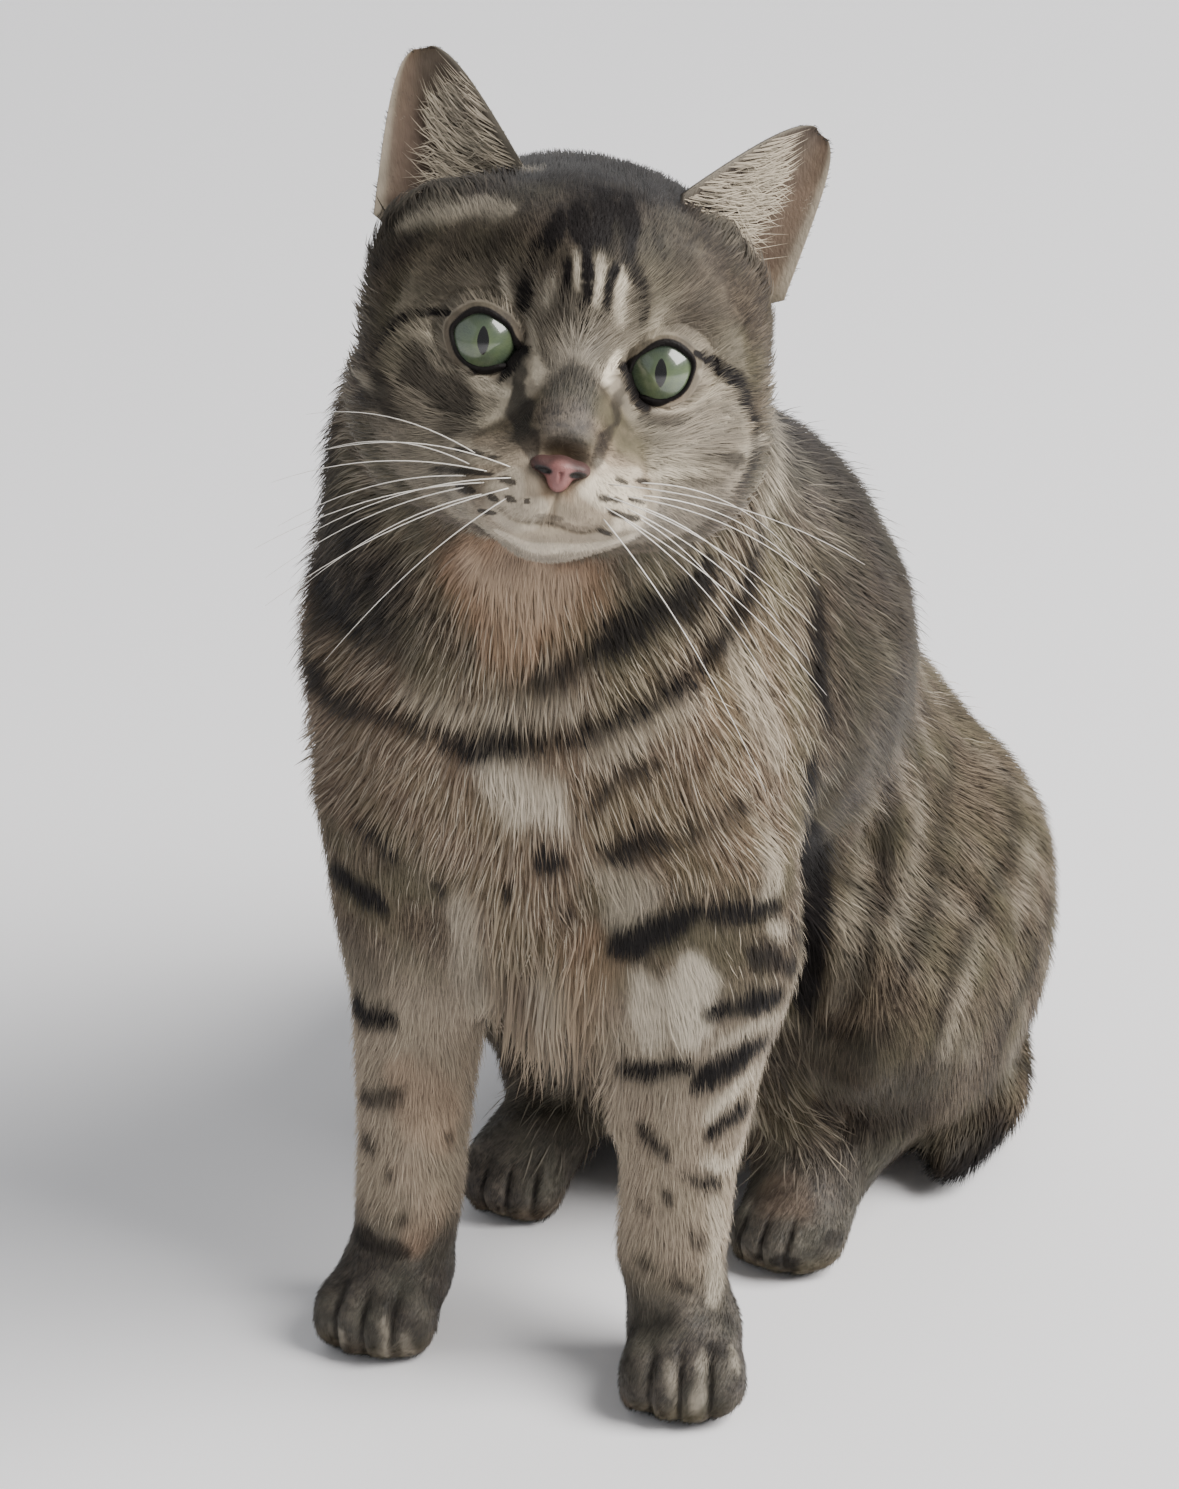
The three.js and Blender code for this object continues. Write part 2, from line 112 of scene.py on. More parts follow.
def soft_min(a, b, k):
    """The lesser of two fields, with a fillet about `k` across where they cross."""
    t = np.clip(0.5 + (b - a) / (2 * k), 0, 1)
    return b + (a - b) * t - k * t * (1 - t)


# ---- Where the frame stands ----
def centre(node):
    """The middle of a node's box, in millimetres."""
    low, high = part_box(node)
    return (np.array(low) + np.array(high)) * 500


EYE_MIDDLE = np.array([20.5, -43.0, 282.5])  # between the eyeballs, in the cat's axes
SHIFT = (centre("eye_left") + centre("eye_right")) / 2 - EYE_MIDDLE
EYE_RADIUS = float(np.mean([b[1] - b[0] for b in zip(*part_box("eye_left"))])) * 500
HEAD_YAW, HEAD_PITCH, HEAD_ROLL = 25, 18, 11.5
HEAD = turn(2, HEAD_YAW) @ turn(0, -HEAD_PITCH) @ turn(1, HEAD_ROLL)
EYES = {side: HEAD.T @ (centre("eye_" + side) - SHIFT - EYE_MIDDLE) for side in ("right", "left")}
SIGN = {"right": -1, "left": 1}
FLESH = [n for n in nodes if not n.startswith(("eye", "nose"))]
SOLID_FLESH = [n for n in FLESH if not n.startswith("ear")]


def place(p):
    """From the cat's own axes to the frame's metres."""
    return (np.asarray(p) + SHIFT) / 1000


def in_head(p):
    """From the cat's axes to the head's: 0 between the eyes, the nose to -Y."""
    return (p - EYE_MIDDLE) @ HEAD


def from_head(h):
    """From the head's axes to the cat's."""
    return np.asarray(h, float) @ HEAD.T + EYE_MIDDLE


def node_mesh(name):
    """A node's points in millimetres and its triangles."""
    mesh = nodes[name].data
    points = np.empty(len(mesh.vertices) * 3, np.float32)
    mesh.vertices.foreach_get("co", points)
    mesh.calc_loop_triangles()
    triangles = np.empty(len(mesh.loop_triangles) * 3, np.int32)
    mesh.loop_triangles.foreach_get("vertices", triangles)
    points = points.reshape(-1, 3) * 1000 - SHIFT.astype(np.float32)
    return points, triangles.reshape(-1, 3).astype(np.uint32)


# ---- The skin as a distance field: negative inside ----
VOXEL = 1.3
MARGIN = 14  # of empty grid round the cat
lows, highs = zip(*[(m.min(0), m.max(0)) for m in (node_mesh(n)[0] for n in FLESH)])
GRID_LOW = np.floor((np.min(lows, 0) - MARGIN) / VOXEL).astype(int)
GRID_SHAPE = (np.ceil((np.max(highs, 0) + MARGIN) / VOXEL).astype(int) - GRID_LOW) // 2 * 2 + 1


def distances(points, triangles=None, quads=None, outside=3.0, inside=3.0):
    """The distance field of a closed mesh on the cat's grid, true within the given numbers of voxels."""
    grid = vdb.FloatGrid.createLevelSetFromPolygons(
        points,
        triangles=triangles,
        quads=quads,
        transform=vdb.createLinearTransform(voxelSize=VOXEL),
        exBandWidth=outside,
        inBandWidth=inside,
    )
    field = np.zeros(GRID_SHAPE, np.float32)
    grid.copyToArray(field, ijk=tuple(int(i) for i in GRID_LOW))
    return field


def surface(field, level=0.0, voxel=VOXEL, low=GRID_LOW, background=20.0):
    """Points and four-cornered faces where a field has the value `level`."""
    grid = vdb.FloatGrid()
    grid.transform = vdb.createLinearTransform(voxelSize=voxel)
    grid.background = background
    grid.copyFromArray(np.ascontiguousarray(field, np.float32), ijk=tuple(int(i) for i in low))
    return grid.convertToQuads(level)


def blurred(field, passes):
    """Each pass spreads by about 0.7 of a voxel."""
    out = field.copy()
    for _ in range(passes):
        for axis in range(3):
            a = np.moveaxis(out, axis, 0)
            inner = (a[:-2] + 2 * a[1:-1] + a[2:]) / 4
            a[1:-1] = inner
    return out


def lattice(shape):
    """The places of a grid's cells, counted in cells."""
    return np.stack(np.meshgrid(*[np.arange(n) for n in shape], indexing="ij"), -1)


def sample(field, p, voxel=VOXEL):
    """Trilinear value of a grid at points in millimetres."""
    q = p / voxel - GRID_LOW * (VOXEL / voxel)
    q = np.clip(q, 0, np.array(field.shape) - 1.001)
    i = q.astype(int)
    f = (q - i).astype(np.float32)
    total = np.zeros(len(p), np.float32)
    for corner in np.ndindex(2, 2, 2):
        weight = np.prod(np.where(corner, f, 1 - f), axis=1)
        total += weight * field[tuple((i + corner).T)]
    return total


REGIONS = ["head", "neck", "chest", "rump", "foreleg", "forepaw", "thigh", "hind_foot", "tail"]
CLOSE = 1.0  # the cuts between nodes are closed by growing the solids this much and shrinking them again


def body_fields():
    """The true outline with its cuts closed, and a soft share of each region at half resolution."""
    union = None
    shares = []
    for region in REGIONS:
        field = None
        for name in [n for n in SOLID_FLESH if n.startswith(region)]:
            d = distances(*node_mesh(name))
            field = d if field is None else np.minimum(field, d)
        shares.append(field[::2, ::2, ::2])
        union = field if union is None else np.minimum(union, field)
    nearest = np.argmin(shares, axis=0)
    near_enough = np.min(shares, axis=0) < 1.5 * VOXEL
    shares = [blurred(((nearest == i) & near_enough).astype(np.float32), 9) for i in range(len(REGIONS))]
    points, quads = surface(union, CLOSE)
    outline = distances(points, quads=quads, outside=4.0, inside=13.0) + CLOSE
    return outline, dict(zip(REGIONS, shares))


outline, shares = body_fields()


def region_shares(p):
    """How much each point belongs to each region of the body; the shares add up to 1."""
    found = {name: sample(field, p, 2 * VOXEL) for name, field in shares.items()}
    total = np.maximum(sum(found.values()), 1e-6)
    return {name: value / total for name, value in found.items()}


# Each region's coat: the skin's depth under the coat's outline, the tufts' length,
# and tufts to the square millimetre.
COAT_TABLE = {
    "head": (2.2, 5.5, 1.6),
    "neck": (4.6, 8.5, 1.3),
    "chest": (5.0, 9, 1.3),
    "rump": (4.2, 7.5, 1.2),
    "foreleg": (2.2, 5.5, 1.7),
    "forepaw": (0.9, 3.2, 2.2),
    "thigh": (4.0, 7.5, 1.2),
    "hind_foot": (1.0, 3.6, 2.0),
    "tail": (3.4, 8, 1.1),
}
DEPTH, LENGTH, DENSITY = ({name: row[i] for name, row in COAT_TABLE.items()} for i in range(3))


def face_parts(p):
    """Masks on the head: the bare-looking front of the face, the muzzle, and the full cheeks."""
    h = in_head(p)
    front = step(h[:, 1], 14, -8)
    muzzle = step(np.linalg.norm((h - [0, -18, -27]) / [20, 22, 15], axis=1), 1.25, 0.8)
    cheeks = step(np.abs(h[:, 0]), 26, 36) * step(h[:, 2], 8, -6)
    return h, front, muzzle, cheeks


def blend_regions(table, near):
    """A table's value at each point, blended by the regions' shares."""
    return sum(near[name] * table[name] for name in REGIONS)


def coat_depth(p, near):
    """How deep the skin lies under the coat's outline: least on the face, more on the full cheeks."""
    _, front, muzzle, cheeks = face_parts(p)
    head = mix(DEPTH["head"], 1.0, front)
    head = mix(head, 3.6, cheeks * (1 - 0.6 * front))
    head = mix(head, 0.6, muzzle)
    depth = blend_regions(DEPTH, near)
    return depth + near["head"] * (head - DEPTH["head"])


LID_OUT = 0.9  # how far the lids stand off the eyeball


def skin_field():
    """The outline, its facets rounded off, moved in by the coat's depth."""
    fine = blurred(outline, 2)
    soft = blurred(fine, 9)
    half = shares["head"].shape
    p = (lattice(half).reshape(-1, 3) * 2 + GRID_LOW) * VOXEL
    band = np.abs(outline[::2, ::2, ::2].ravel() + 4) < 12
    near = region_shares(p[band])
    depth = np.full(len(p), 4.0, np.float32)
    depth[band] = coat_depth(p[band], near)
    crisp = np.zeros(len(p), np.float32)
    sharp = near["head"] + near["forepaw"] + near["hind_foot"]
    crisp[band] = sharp + 0.8 * near["foreleg"] + 0.6 * near["tail"]
    depth = blurred(depth.reshape(half), 3)
    crisp = crisp.reshape(half)
    grown = [np.repeat(np.repeat(np.repeat(g, 2, 0), 2, 1), 2, 2) for g in (depth, crisp)]
    cut = tuple(slice(0, n) for n in outline.shape)
    depth, crisp = blurred(grown[0][cut], 2), grown[1][cut]
    return over_eyes(mix(soft, fine, crisp) + depth)


def over_eyes(skin):
    """Closes the skin over the eyeballs, where the lids will be."""
    reach = int(20 / VOXEL)  # in cells, more than an eyeball's radius
    for eye in EYES.values():
        low = np.round(from_head(eye) / VOXEL).astype(int) - GRID_LOW - reach
        window = tuple(slice(i, i + 2 * reach) for i in low)
        p = (lattice([2 * reach] * 3) + low + GRID_LOW) * VOXEL
        ball = np.linalg.norm(p - from_head(eye), axis=-1) - EYE_RADIUS - LID_OUT
        skin[window] = soft_min(skin[window], ball, 2.0)
    return skin


field = skin_field()


def slope_at(p, reach):
    """Which way and how fast the field rises, over `reach` millimetres."""
    return np.stack([sample(field, p + d) - sample(field, p - d) for d in np.eye(3) * reach], 1) / (2 * reach)


def pull(p, times=2):
    """Moves points onto the skin."""
    for _ in range(times):
        slope = slope_at(p, 0.8)
        p = p - (sample(field, p) / np.maximum((slope**2).sum(1), 0.2))[:, None] * slope
    return p


# ---- The skin as one mesh ----
def new_object(name, points, faces):
    """A smooth-shaded object from points in the cat's axes."""
    mesh = bpy.data.meshes.new(name)
    mesh.from_pydata(place(points).tolist(), [], faces if isinstance(faces, list) else faces.tolist())
    mesh.update()
    mesh.shade_smooth()
    obj = bpy.data.objects.new(name, mesh)
    bpy.context.scene.collection.objects.link(obj)
    return obj


def mesh_points(mesh):
    """A mesh's points in the cat's axes."""
    p = np.empty(len(mesh.vertices) * 3)
    mesh.vertices.foreach_get("co", p)
    return p.reshape(-1, 3) * 1000 - SHIFT


def set_points(mesh, p):
    """Moves a mesh's points to places in the cat's axes."""
    mesh.vertices.foreach_set("co", place(p).ravel())
    mesh.update()


def mesh_normals(mesh):
    """The normals at a mesh's points."""
    normals = np.empty(len(mesh.vertices) * 3)
    mesh.vertices.foreach_get("normal", normals)
    return normals.reshape(-1, 3)


def refine(obj, wanted):
    """Splits the edges between points that `wanted` picks."""
    bm = bmesh.new()
    bm.from_mesh(obj.data)
    bm.verts.ensure_lookup_table()
    chosen = wanted(mesh_points(obj.data))
    edges = [e for e in bm.edges if chosen[e.verts[0].index] and chosen[e.verts[1].index]]
    bmesh.ops.subdivide_edges(bm, edges=edges, cuts=1, use_grid_fill=True)
    bmesh.ops.triangulate(bm, faces=[f for f in bm.faces if len(f.verts) > 4])
    bm.to_mesh(obj.data)
    bm.free()


def only(obj):
    """Selects one object and makes it the active one."""
    bpy.ops.object.select_all(action="DESELECT")
    obj.select_set(True)
    bpy.context.view_layer.objects.active = obj


def face_outwards(obj, unwrap=False):
    """Turns every face outwards, and unwraps the faces too where asked."""
    only(obj)
    bpy.ops.object.mode_set(mode="EDIT")
    bpy.ops.mesh.select_all(action="SELECT")
    bpy.ops.mesh.normals_make_consistent(inside=False)
    if unwrap:
        bpy.ops.uv.smart_project(angle_limit=1.15, island_margin=0.002)
    bpy.ops.object.mode_set(mode="OBJECT")


# ---- The face and the paws, moulded in the skin; the face's places are in the head's axes ----
OPENING = {"wide": 6.2, "high": 6.05}  # of an eye, halved
GAZE = {"across": -3.5, "down": 6.5}  # degrees: the eyes look at the viewer
CANTHUS = 2.6  # the inner corner runs on towards the nose
EYE_ROLL = -8  # the pupils stay nearly upright while the head tilts
GAZE_TURN = turn(2, GAZE["across"]) @ turn(0, GAZE["down"]) @ turn(1, EYE_ROLL)


def eye_edge(q, side):
    """Distance outside the edge of the eye's opening, over the ball, for places relative to its middle."""
    g = unit(q @ GAZE_TURN) * EYE_RADIUS
    x, z = g[:, 0] * SIGN[side], g[:, 2]
    angle = np.arctan2(z, x)
    tilt = np.radians(8 - EYE_ROLL * SIGN[side])
    radius = OPENING["wide"] * OPENING["high"] / np.hypot(
        OPENING["high"] * np.cos(angle - tilt), OPENING["wide"] * np.sin(angle - tilt)
    )

    def lobe(degrees, width):
        return bell(np.angle(np.exp(1j * (angle - np.radians(degrees)))), width)

    inner, outer, brow = lobe(210, 0.32), lobe(18, 0.35), lobe(122, 0.6)
    behind = np.where(g[:, 1] > 0, 30, 0)
    return np.hypot(x, z) - radius + 0.8 * brow - CANTHUS * inner - 0.7 * outer + behind


def mouth_line(x):
    """Height of the mouth at a distance from the midline."""
    return -36.2 + 0.16 * x - 1.7 * bell(x - 7, 4.5)


def mould_face(p):
    """Lids round the eyeballs, the mouth and the philtrum."""
    h = in_head(p)
    for side, eye in EYES.items():
        q = h - eye
        r = np.linalg.norm(q, axis=1)
        ahead = step(-q[:, 1] / np.maximum(r, 1e-6), 0.05, 0.35) * step(r, 30, 20)
        edge = eye_edge(q, side)
        lid = EYE_RADIUS + LID_OUT + 0.5 * step(q[:, 2], 0, 6)
        wanted = mix(lid, r, step(edge, 0.6, 6.5))
        wanted = np.where(edge < 0, mix(lid, EYE_RADIUS - 1.4, step(-edge, 0.0, 0.6)), wanted)
        wanted = wanted - 0.5 * bell(edge - 2.6, 0.7) * step(edge, 0.5, 1.5)  # the crease round the lids
        h = eye + q * (mix(r, wanted, ahead) / np.maximum(r, 1e-6))[:, None]
    x, y, z = np.abs(h[:, 0]), h[:, 1], h[:, 2]
    front = step(y, -8, -16)
    mouth = bell(z - mouth_line(x), 0.75) * step(x, 14, 8)
    philtrum = bell(x, 0.7) * step(z, -37, -35.5) * step(z, -26, -28)
    h[:, 1] += front * (0.9 * mouth + 0.9 * philtrum)
    return from_head(h)


# Each paw: its middle, its heading about z, its toes' front and height, and the clefts' spacing.
PAWS = {
    "forepaw_right": dict(at=(-44.5, -5), turn=4, front=-23.5, high=19, spread=7.9),
    "forepaw_left": dict(at=(35, -5), turn=16, front=-23.5, high=19, spread=7.9),
    "hind_foot_right": dict(at=(-37.5, 72), turn=6, front=-25, high=17, spread=7.4),
    "hind_foot_left": dict(at=(37.5, 72), turn=-6, front=-25, high=17, spread=7.4),
}


def paw_place(p, paw):
    """Across, forward (negative) and up from a paw's middle, along its heading."""
    return (p - [*paw["at"], 0]) @ turn(2, paw["turn"])


def toe_grooves(p):
    """How much each point lies in a cleft between toes."""
    total = np.zeros(len(p))
    for paw in PAWS.values():
        q = paw_place(p, paw)
        near = step(q[:, 1], paw["front"] + 15, paw["front"] + 5)
        near = near * step(q[:, 2], paw["high"] + 5, paw["high"] - 4)
        near = near * (np.abs(q[:, 0]) < 18) * (q[:, 1] > paw["front"] - 9) * step(q[:, 2], 0.5, 4)
        for i in (-1, 0, 1):
            line = paw["spread"] * i * (1 + 0.012 * (paw["front"] - q[:, 1]))
            total = np.maximum(total, near * bell(q[:, 0] - line, 1.0))
    return total


TOE_CLEFT = 1.5  # how deep


def mould_paws(p, normals):
    """Presses the clefts between the toes into the skin."""
    return p - normals * (TOE_CLEFT * toe_grooves(p))[:, None]


# ---- Ears: the same cupped shells as the solids, on smooth curves, sunk into the skin ----
EAR = dict(height=34, half_width=18, sink=14, cup=9)
EAR_THICK = {"middle": 2.4, "rim": 1.3}
EAR_POSE = {
    "left": dict(base=(31.5, 18, 28), lean=32, open=26, back=-6),
    "right": dict(base=(-31, 18, 27.5), lean=-22, open=-8, back=-6),
}


def ear_turn(side):
    """An ear's own turn in the head: opened about z, then leant outwards, then back."""
    pose = EAR_POSE[side]
    return turn(2, pose["open"]) @ turn(1, pose["lean"]) @ turn(0, pose["back"])


def ear_taper(z, least=0.0):
    """An ear's width at a height over its foot, as a share of the foot's."""
    left = np.clip((EAR["height"] - z) / EAR["height"], least, None)
    return np.where(left < 1, left**0.4 * (0.78 + 0.22 * left), 1 - 1.7 * (left - 1))


def ear_cup(u, h, taper):
    """How far the middle sheet of the shell bows back."""
    return EAR["cup"] * (1 - u * u) * taper - 3 * h * h


def ear_points(side, u, h, offset):
    """Places on a shell: u from the inner edge, -1, to the outer, 1; h from the sunk foot, 0, to the tip, 1.

    The offset is -1 on the front sheet and 1 on the back one.
    """
    z = (EAR["height"] + EAR["sink"]) * h - EAR["sink"]
    taper = ear_taper(z)
    cup = ear_cup(u, h, taper)
    thick = mix(EAR_THICK["middle"], EAR_THICK["rim"], np.maximum(u * u, h * h)) * np.minimum(1, taper * 3)
    local = np.stack([EAR["half_width"] * taper * u * SIGN[side], cup + offset * thick / 2, z], -1)
    return from_head(local @ ear_turn(side).T + EAR_POSE[side]["base"])


EAR_COLUMNS, EAR_ROWS = 22, 26
EAR_TOP = 0.995
SKIN_SHARE = 0.86  # of the unwrap's width; the ears' sheets lie beside it
EAR_SHEET = {"wide": 0.06, "high": 0.44, "step": 0.07, "margin": 0.005}  # in the unwrap


def ear_corner(side):
    """Where an ear's front sheet starts in the unwrap."""
    return np.array([SKIN_SHARE + EAR_SHEET["margin"], 0.02 if side == "left" else 0.5])


def ear_object(side):
    """A closed shell, its front sheet and back sheet joined round the rim."""
    u = np.sin(np.linspace(-np.pi / 2, np.pi / 2, EAR_COLUMNS + 1))
    h = EAR_TOP * np.sin(np.linspace(0, np.pi / 2, EAR_ROWS + 1))
    uu, hh = np.meshgrid(u, h)
    front = ear_points(side, uu.ravel(), hh.ravel(), -1)
    back = ear_points(side, uu.ravel(), hh.ravel(), 1)
    across = EAR_COLUMNS + 1
    n = across * (EAR_ROWS + 1)
    faces = []
    for j in range(EAR_ROWS):
        for i in range(EAR_COLUMNS):
            a, b = j * across + i, j * across + i + 1
            c, d = a + across, b + across
            faces.append((a, b, d, c))
            faces.append((b + n, a + n, c + n, d + n))
        for i, flip in ((0, 1), (EAR_COLUMNS, 0)):
            a, c = j * across + i, (j + 1) * across + i
            rim = (a, c, c + n, a + n)
            faces.append(rim if flip else rim[::-1])
    for i in range(EAR_COLUMNS):
        faces.append((i + n, i + 1 + n, i + 1, i))
        a = EAR_ROWS * across + i
        faces.append((a, a + 1, a + 1 + n, a + n))
    if side == "right":
        faces = [f[::-1] for f in faces]
    shell = new_object("ear_shell_" + side, np.vstack([front, back]), faces)
    sheet = np.stack([(uu.ravel() + 1) / 2 * EAR_SHEET["wide"], hh.ravel() * EAR_SHEET["high"]], 1)
    sheet = sheet + ear_corner(side)
    uv = np.vstack([sheet, sheet + [EAR_SHEET["step"], 0]])
    shell.data.uv_layers.new(name="OFBake")
    loops = np.empty(len(shell.data.loops), int)
    shell.data.loops.foreach_get("vertex_index", loops)
    shell.data.uv_layers[0].data.foreach_set("uv", uv[loops].ravel())
    return shell


def ear_place(p, side):
    """Where points are on an ear: u across and h up as in ear_points, and how far off its middle sheet."""
    local = (in_head(p) - EAR_POSE[side]["base"]) @ ear_turn(side)
    z = local[:, 2]
    taper = ear_taper(z, 0.001)
    u = local[:, 0] * SIGN[side] / (EAR["half_width"] * np.maximum(taper, 0.02))
    h = (z + EAR["sink"]) / (EAR["height"] + EAR["sink"])
    return u, z / EAR["height"], local[:, 1] - ear_cup(np.clip(u, -1, 1), h, taper)


def loop_uvs(mesh):
    """A mesh's unwrap, corner by corner."""
    uv = np.empty(len(mesh.loops) * 2)
    mesh.uv_layers[0].data.foreach_get("uv", uv)
    return uv.reshape(-1, 2)


def build_skin():
    """The skin as a mesh, unwrapped, split finer on the face and the feet, and moulded."""
    low = np.round(GRID_LOW / 2)
    points, quads = surface(field[::2, ::2, ::2], 0.0, 2 * VOXEL, low)
    points = points + (GRID_LOW - 2 * low) * VOXEL
    skin = new_object("skin", points, quads[:, ::-1])
    set_points(skin.data, pull(mesh_points(skin.data)))
    face_outwards(skin, unwrap=True)
    skin.data.uv_layers[0].name = "OFBake"
    uv = loop_uvs(skin.data) * [SKIN_SHARE, 1]
    skin.data.uv_layers[0].data.foreach_set("uv", uv.ravel())

    def fine(p):
        near = region_shares(p)
        return (near["head"] * (in_head(p)[:, 1] < 10) + near["forepaw"] + near["hind_foot"]) > 0.5

    def face(p):
        h = in_head(p)
        eyes = [np.linalg.norm(h - e - [0, -8, 0], axis=1) < 19 for e in EYES.values()]
        return eyes[0] | eyes[1] | (np.linalg.norm(h - [0, -24, -29], axis=1) < 22)

    def rims(p):
        h = in_head(p)
        found = np.zeros(len(p), bool)
        for side, eye in EYES.items():
            q = h - eye
            found |= (np.abs(eye_edge(q, side)) < 3.2) & (q[:, 1] < -2) & (np.linalg.norm(q, axis=1) < 16)
        mouth = (np.abs(h[:, 2] + 35) < 5) & (np.abs(h[:, 0]) < 18) & (h[:, 1] < -14)
        return found | mouth

    for wanted in (fine, face, lambda p: rims(p) | (toe_grooves(p) > 0.02)):
        refine(skin, wanted)
        set_points(skin.data, pull(mesh_points(skin.data)))
    normals = mesh_normals(skin.data)
    set_points(skin.data, mould_paws(mould_face(mesh_points(skin.data)), normals))
    return skin


def join_ears(skin):
    """Makes the ears' shells part of the skin, in triangles."""
    for side in SIGN:
        ear = ear_object(side)
        modifier = skin.modifiers.new("ear", "BOOLEAN")
        modifier.operation = "UNION"
        modifier.solver = "EXACT"
        modifier.object = ear
        only(skin)
        bpy.ops.object.modifier_apply(modifier=modifier.name)
        bpy.data.objects.remove(ear)
    bm = bmesh.new()
    bm.from_mesh(skin.data)
    bmesh.ops.triangulate(bm, faces=bm.faces)
    bm.to_mesh(skin.data)
    bm.free()
    skin.data.shade_smooth()


skin = build_skin()
join_ears(skin)


# ---- The camera, and places on the skin by the picture's pixels ----
PICTURE = (1179, 1489)
FOCAL = 4850  # in pixels
SENSOR = 36
CAMERA = dict(target=np.array([-4.5, 30.0, 153.0]), azimuth=21.5, elevation=24.5, distance=1180.0)


def camera_axes():
    """The camera's right, its up, and the way back to it from the cat."""
    a, e = np.radians(CAMERA["azimuth"]), np.radians(CAMERA["elevation"])
    back = np.array([np.sin(a) * np.cos(e), -np.cos(a) * np.cos(e), np.sin(e)])
    right = np.array([np.cos(a), np.sin(a), 0.0])
    return right, np.cross(back, right), back


RIGHT, UP, BACK = camera_axes()
EYE_POINT = CAMERA["target"] + BACK * CAMERA["distance"]


def add_camera():
    """The camera at the photograph's viewing angle."""
    data = bpy.data.cameras.new("camera")
    data.sensor_fit = "VERTICAL"
    data.sensor_height = SENSOR
    data.lens = FOCAL * SENSOR / PICTURE[1]
    data.clip_start, data.clip_end = 0.05, 50
    camera = bpy.data.objects.new("camera", data)
    camera.location = place(EYE_POINT)
    camera.rotation_euler = Vector(BACK).to_track_quat("Z", "Y").to_euler()
    bpy.context.scene.collection.objects.link(camera)
    bpy.context.scene.camera = camera


add_camera()


# ---- Floor and light ----
FLOOR_HALF = 9  # metres
LIGHT_DISTANCE = 2.2  # metres


def add_floor():
    """A plain pale floor."""
    mesh = bpy.data.meshes.new("floor")
    corners = [(FLOOR_HALF * x, FLOOR_HALF * y, 0) for x, y in ((-1, -1), (1, -1), (1, 1), (-1, 1))]
    mesh.from_pydata(corners, [], [(0, 1, 2, 3)])
    floor = bpy.data.objects.new("floor", mesh)
    bpy.context.scene.collection.objects.link(floor)
    return floor


def add_light(name, direction, size, power, colour):
    """A square light in a direction from the cat's middle."""
    data = bpy.data.lights.new(name, "AREA")
    data.size, data.energy, data.color = size, power, colour
    light = bpy.data.objects.new(name, data)
    d = Vector(direction).normalized()
    light.location = Vector(place([0, 60, 160])) + d * LIGHT_DISTANCE
    light.rotation_euler = d.to_track_quat("Z", "Y").to_euler()
    bpy.context.scene.collection.objects.link(light)


def add_world(colour, strength):
    """Soft light from all round."""
    world = bpy.data.worlds.new("world")
    bpy.context.scene.world = world
    world.use_nodes = True
    background = world.node_tree.nodes["Background"]
    background.inputs["Color"].default_value = colour
    background.inputs["Strength"].default_value = strength


floor = add_floor()
add_light("key", RIGHT * 1.1 + UP * 0.85 + BACK * 0.8, 1.5, 100, (1.0, 0.98, 0.95))
add_light("fill", -RIGHT * 1.0 + UP * 0.25 + BACK * 0.7, 2.0, 5, (0.93, 0.97, 1.0))
add_light("rim", RIGHT * 0.6 + UP * 0.7 - BACK * 1.0, 1.6, 9, (1.0, 1.0, 1.0))
add_light("behind", [-0.5, 1.0, 0.55], 2.0, 11, (0.97, 0.98, 1.0))
add_world((0.78, 0.79, 0.80, 1), 0.43)


# ---- Marks of the coat and painted shade: strokes laid on the skin where the picture shows them ----
def cast(origin, direction):
    """The first point of the skin from a place along a direction, in the cat's axes."""
    hit, at, _, _ = skin.ray_cast(Vector(place(origin)), Vector(direction))
    return np.array(at) * 1000 - SHIFT if hit else None


def at_pixel(x, y):
    """The point of the skin that the camera sees at a pixel of the picture."""
    across, down = (x - PICTURE[0] / 2) / FOCAL, (y - PICTURE[1] / 2) / FOCAL
    return cast(EYE_POINT, unit(-BACK + across * RIGHT - down * UP))


def over_head(x, y):
    """The point of the crown above a place in the head's axes."""
    return cast(from_head([x, y, 90]), HEAD @ [0, 0, -1.0])


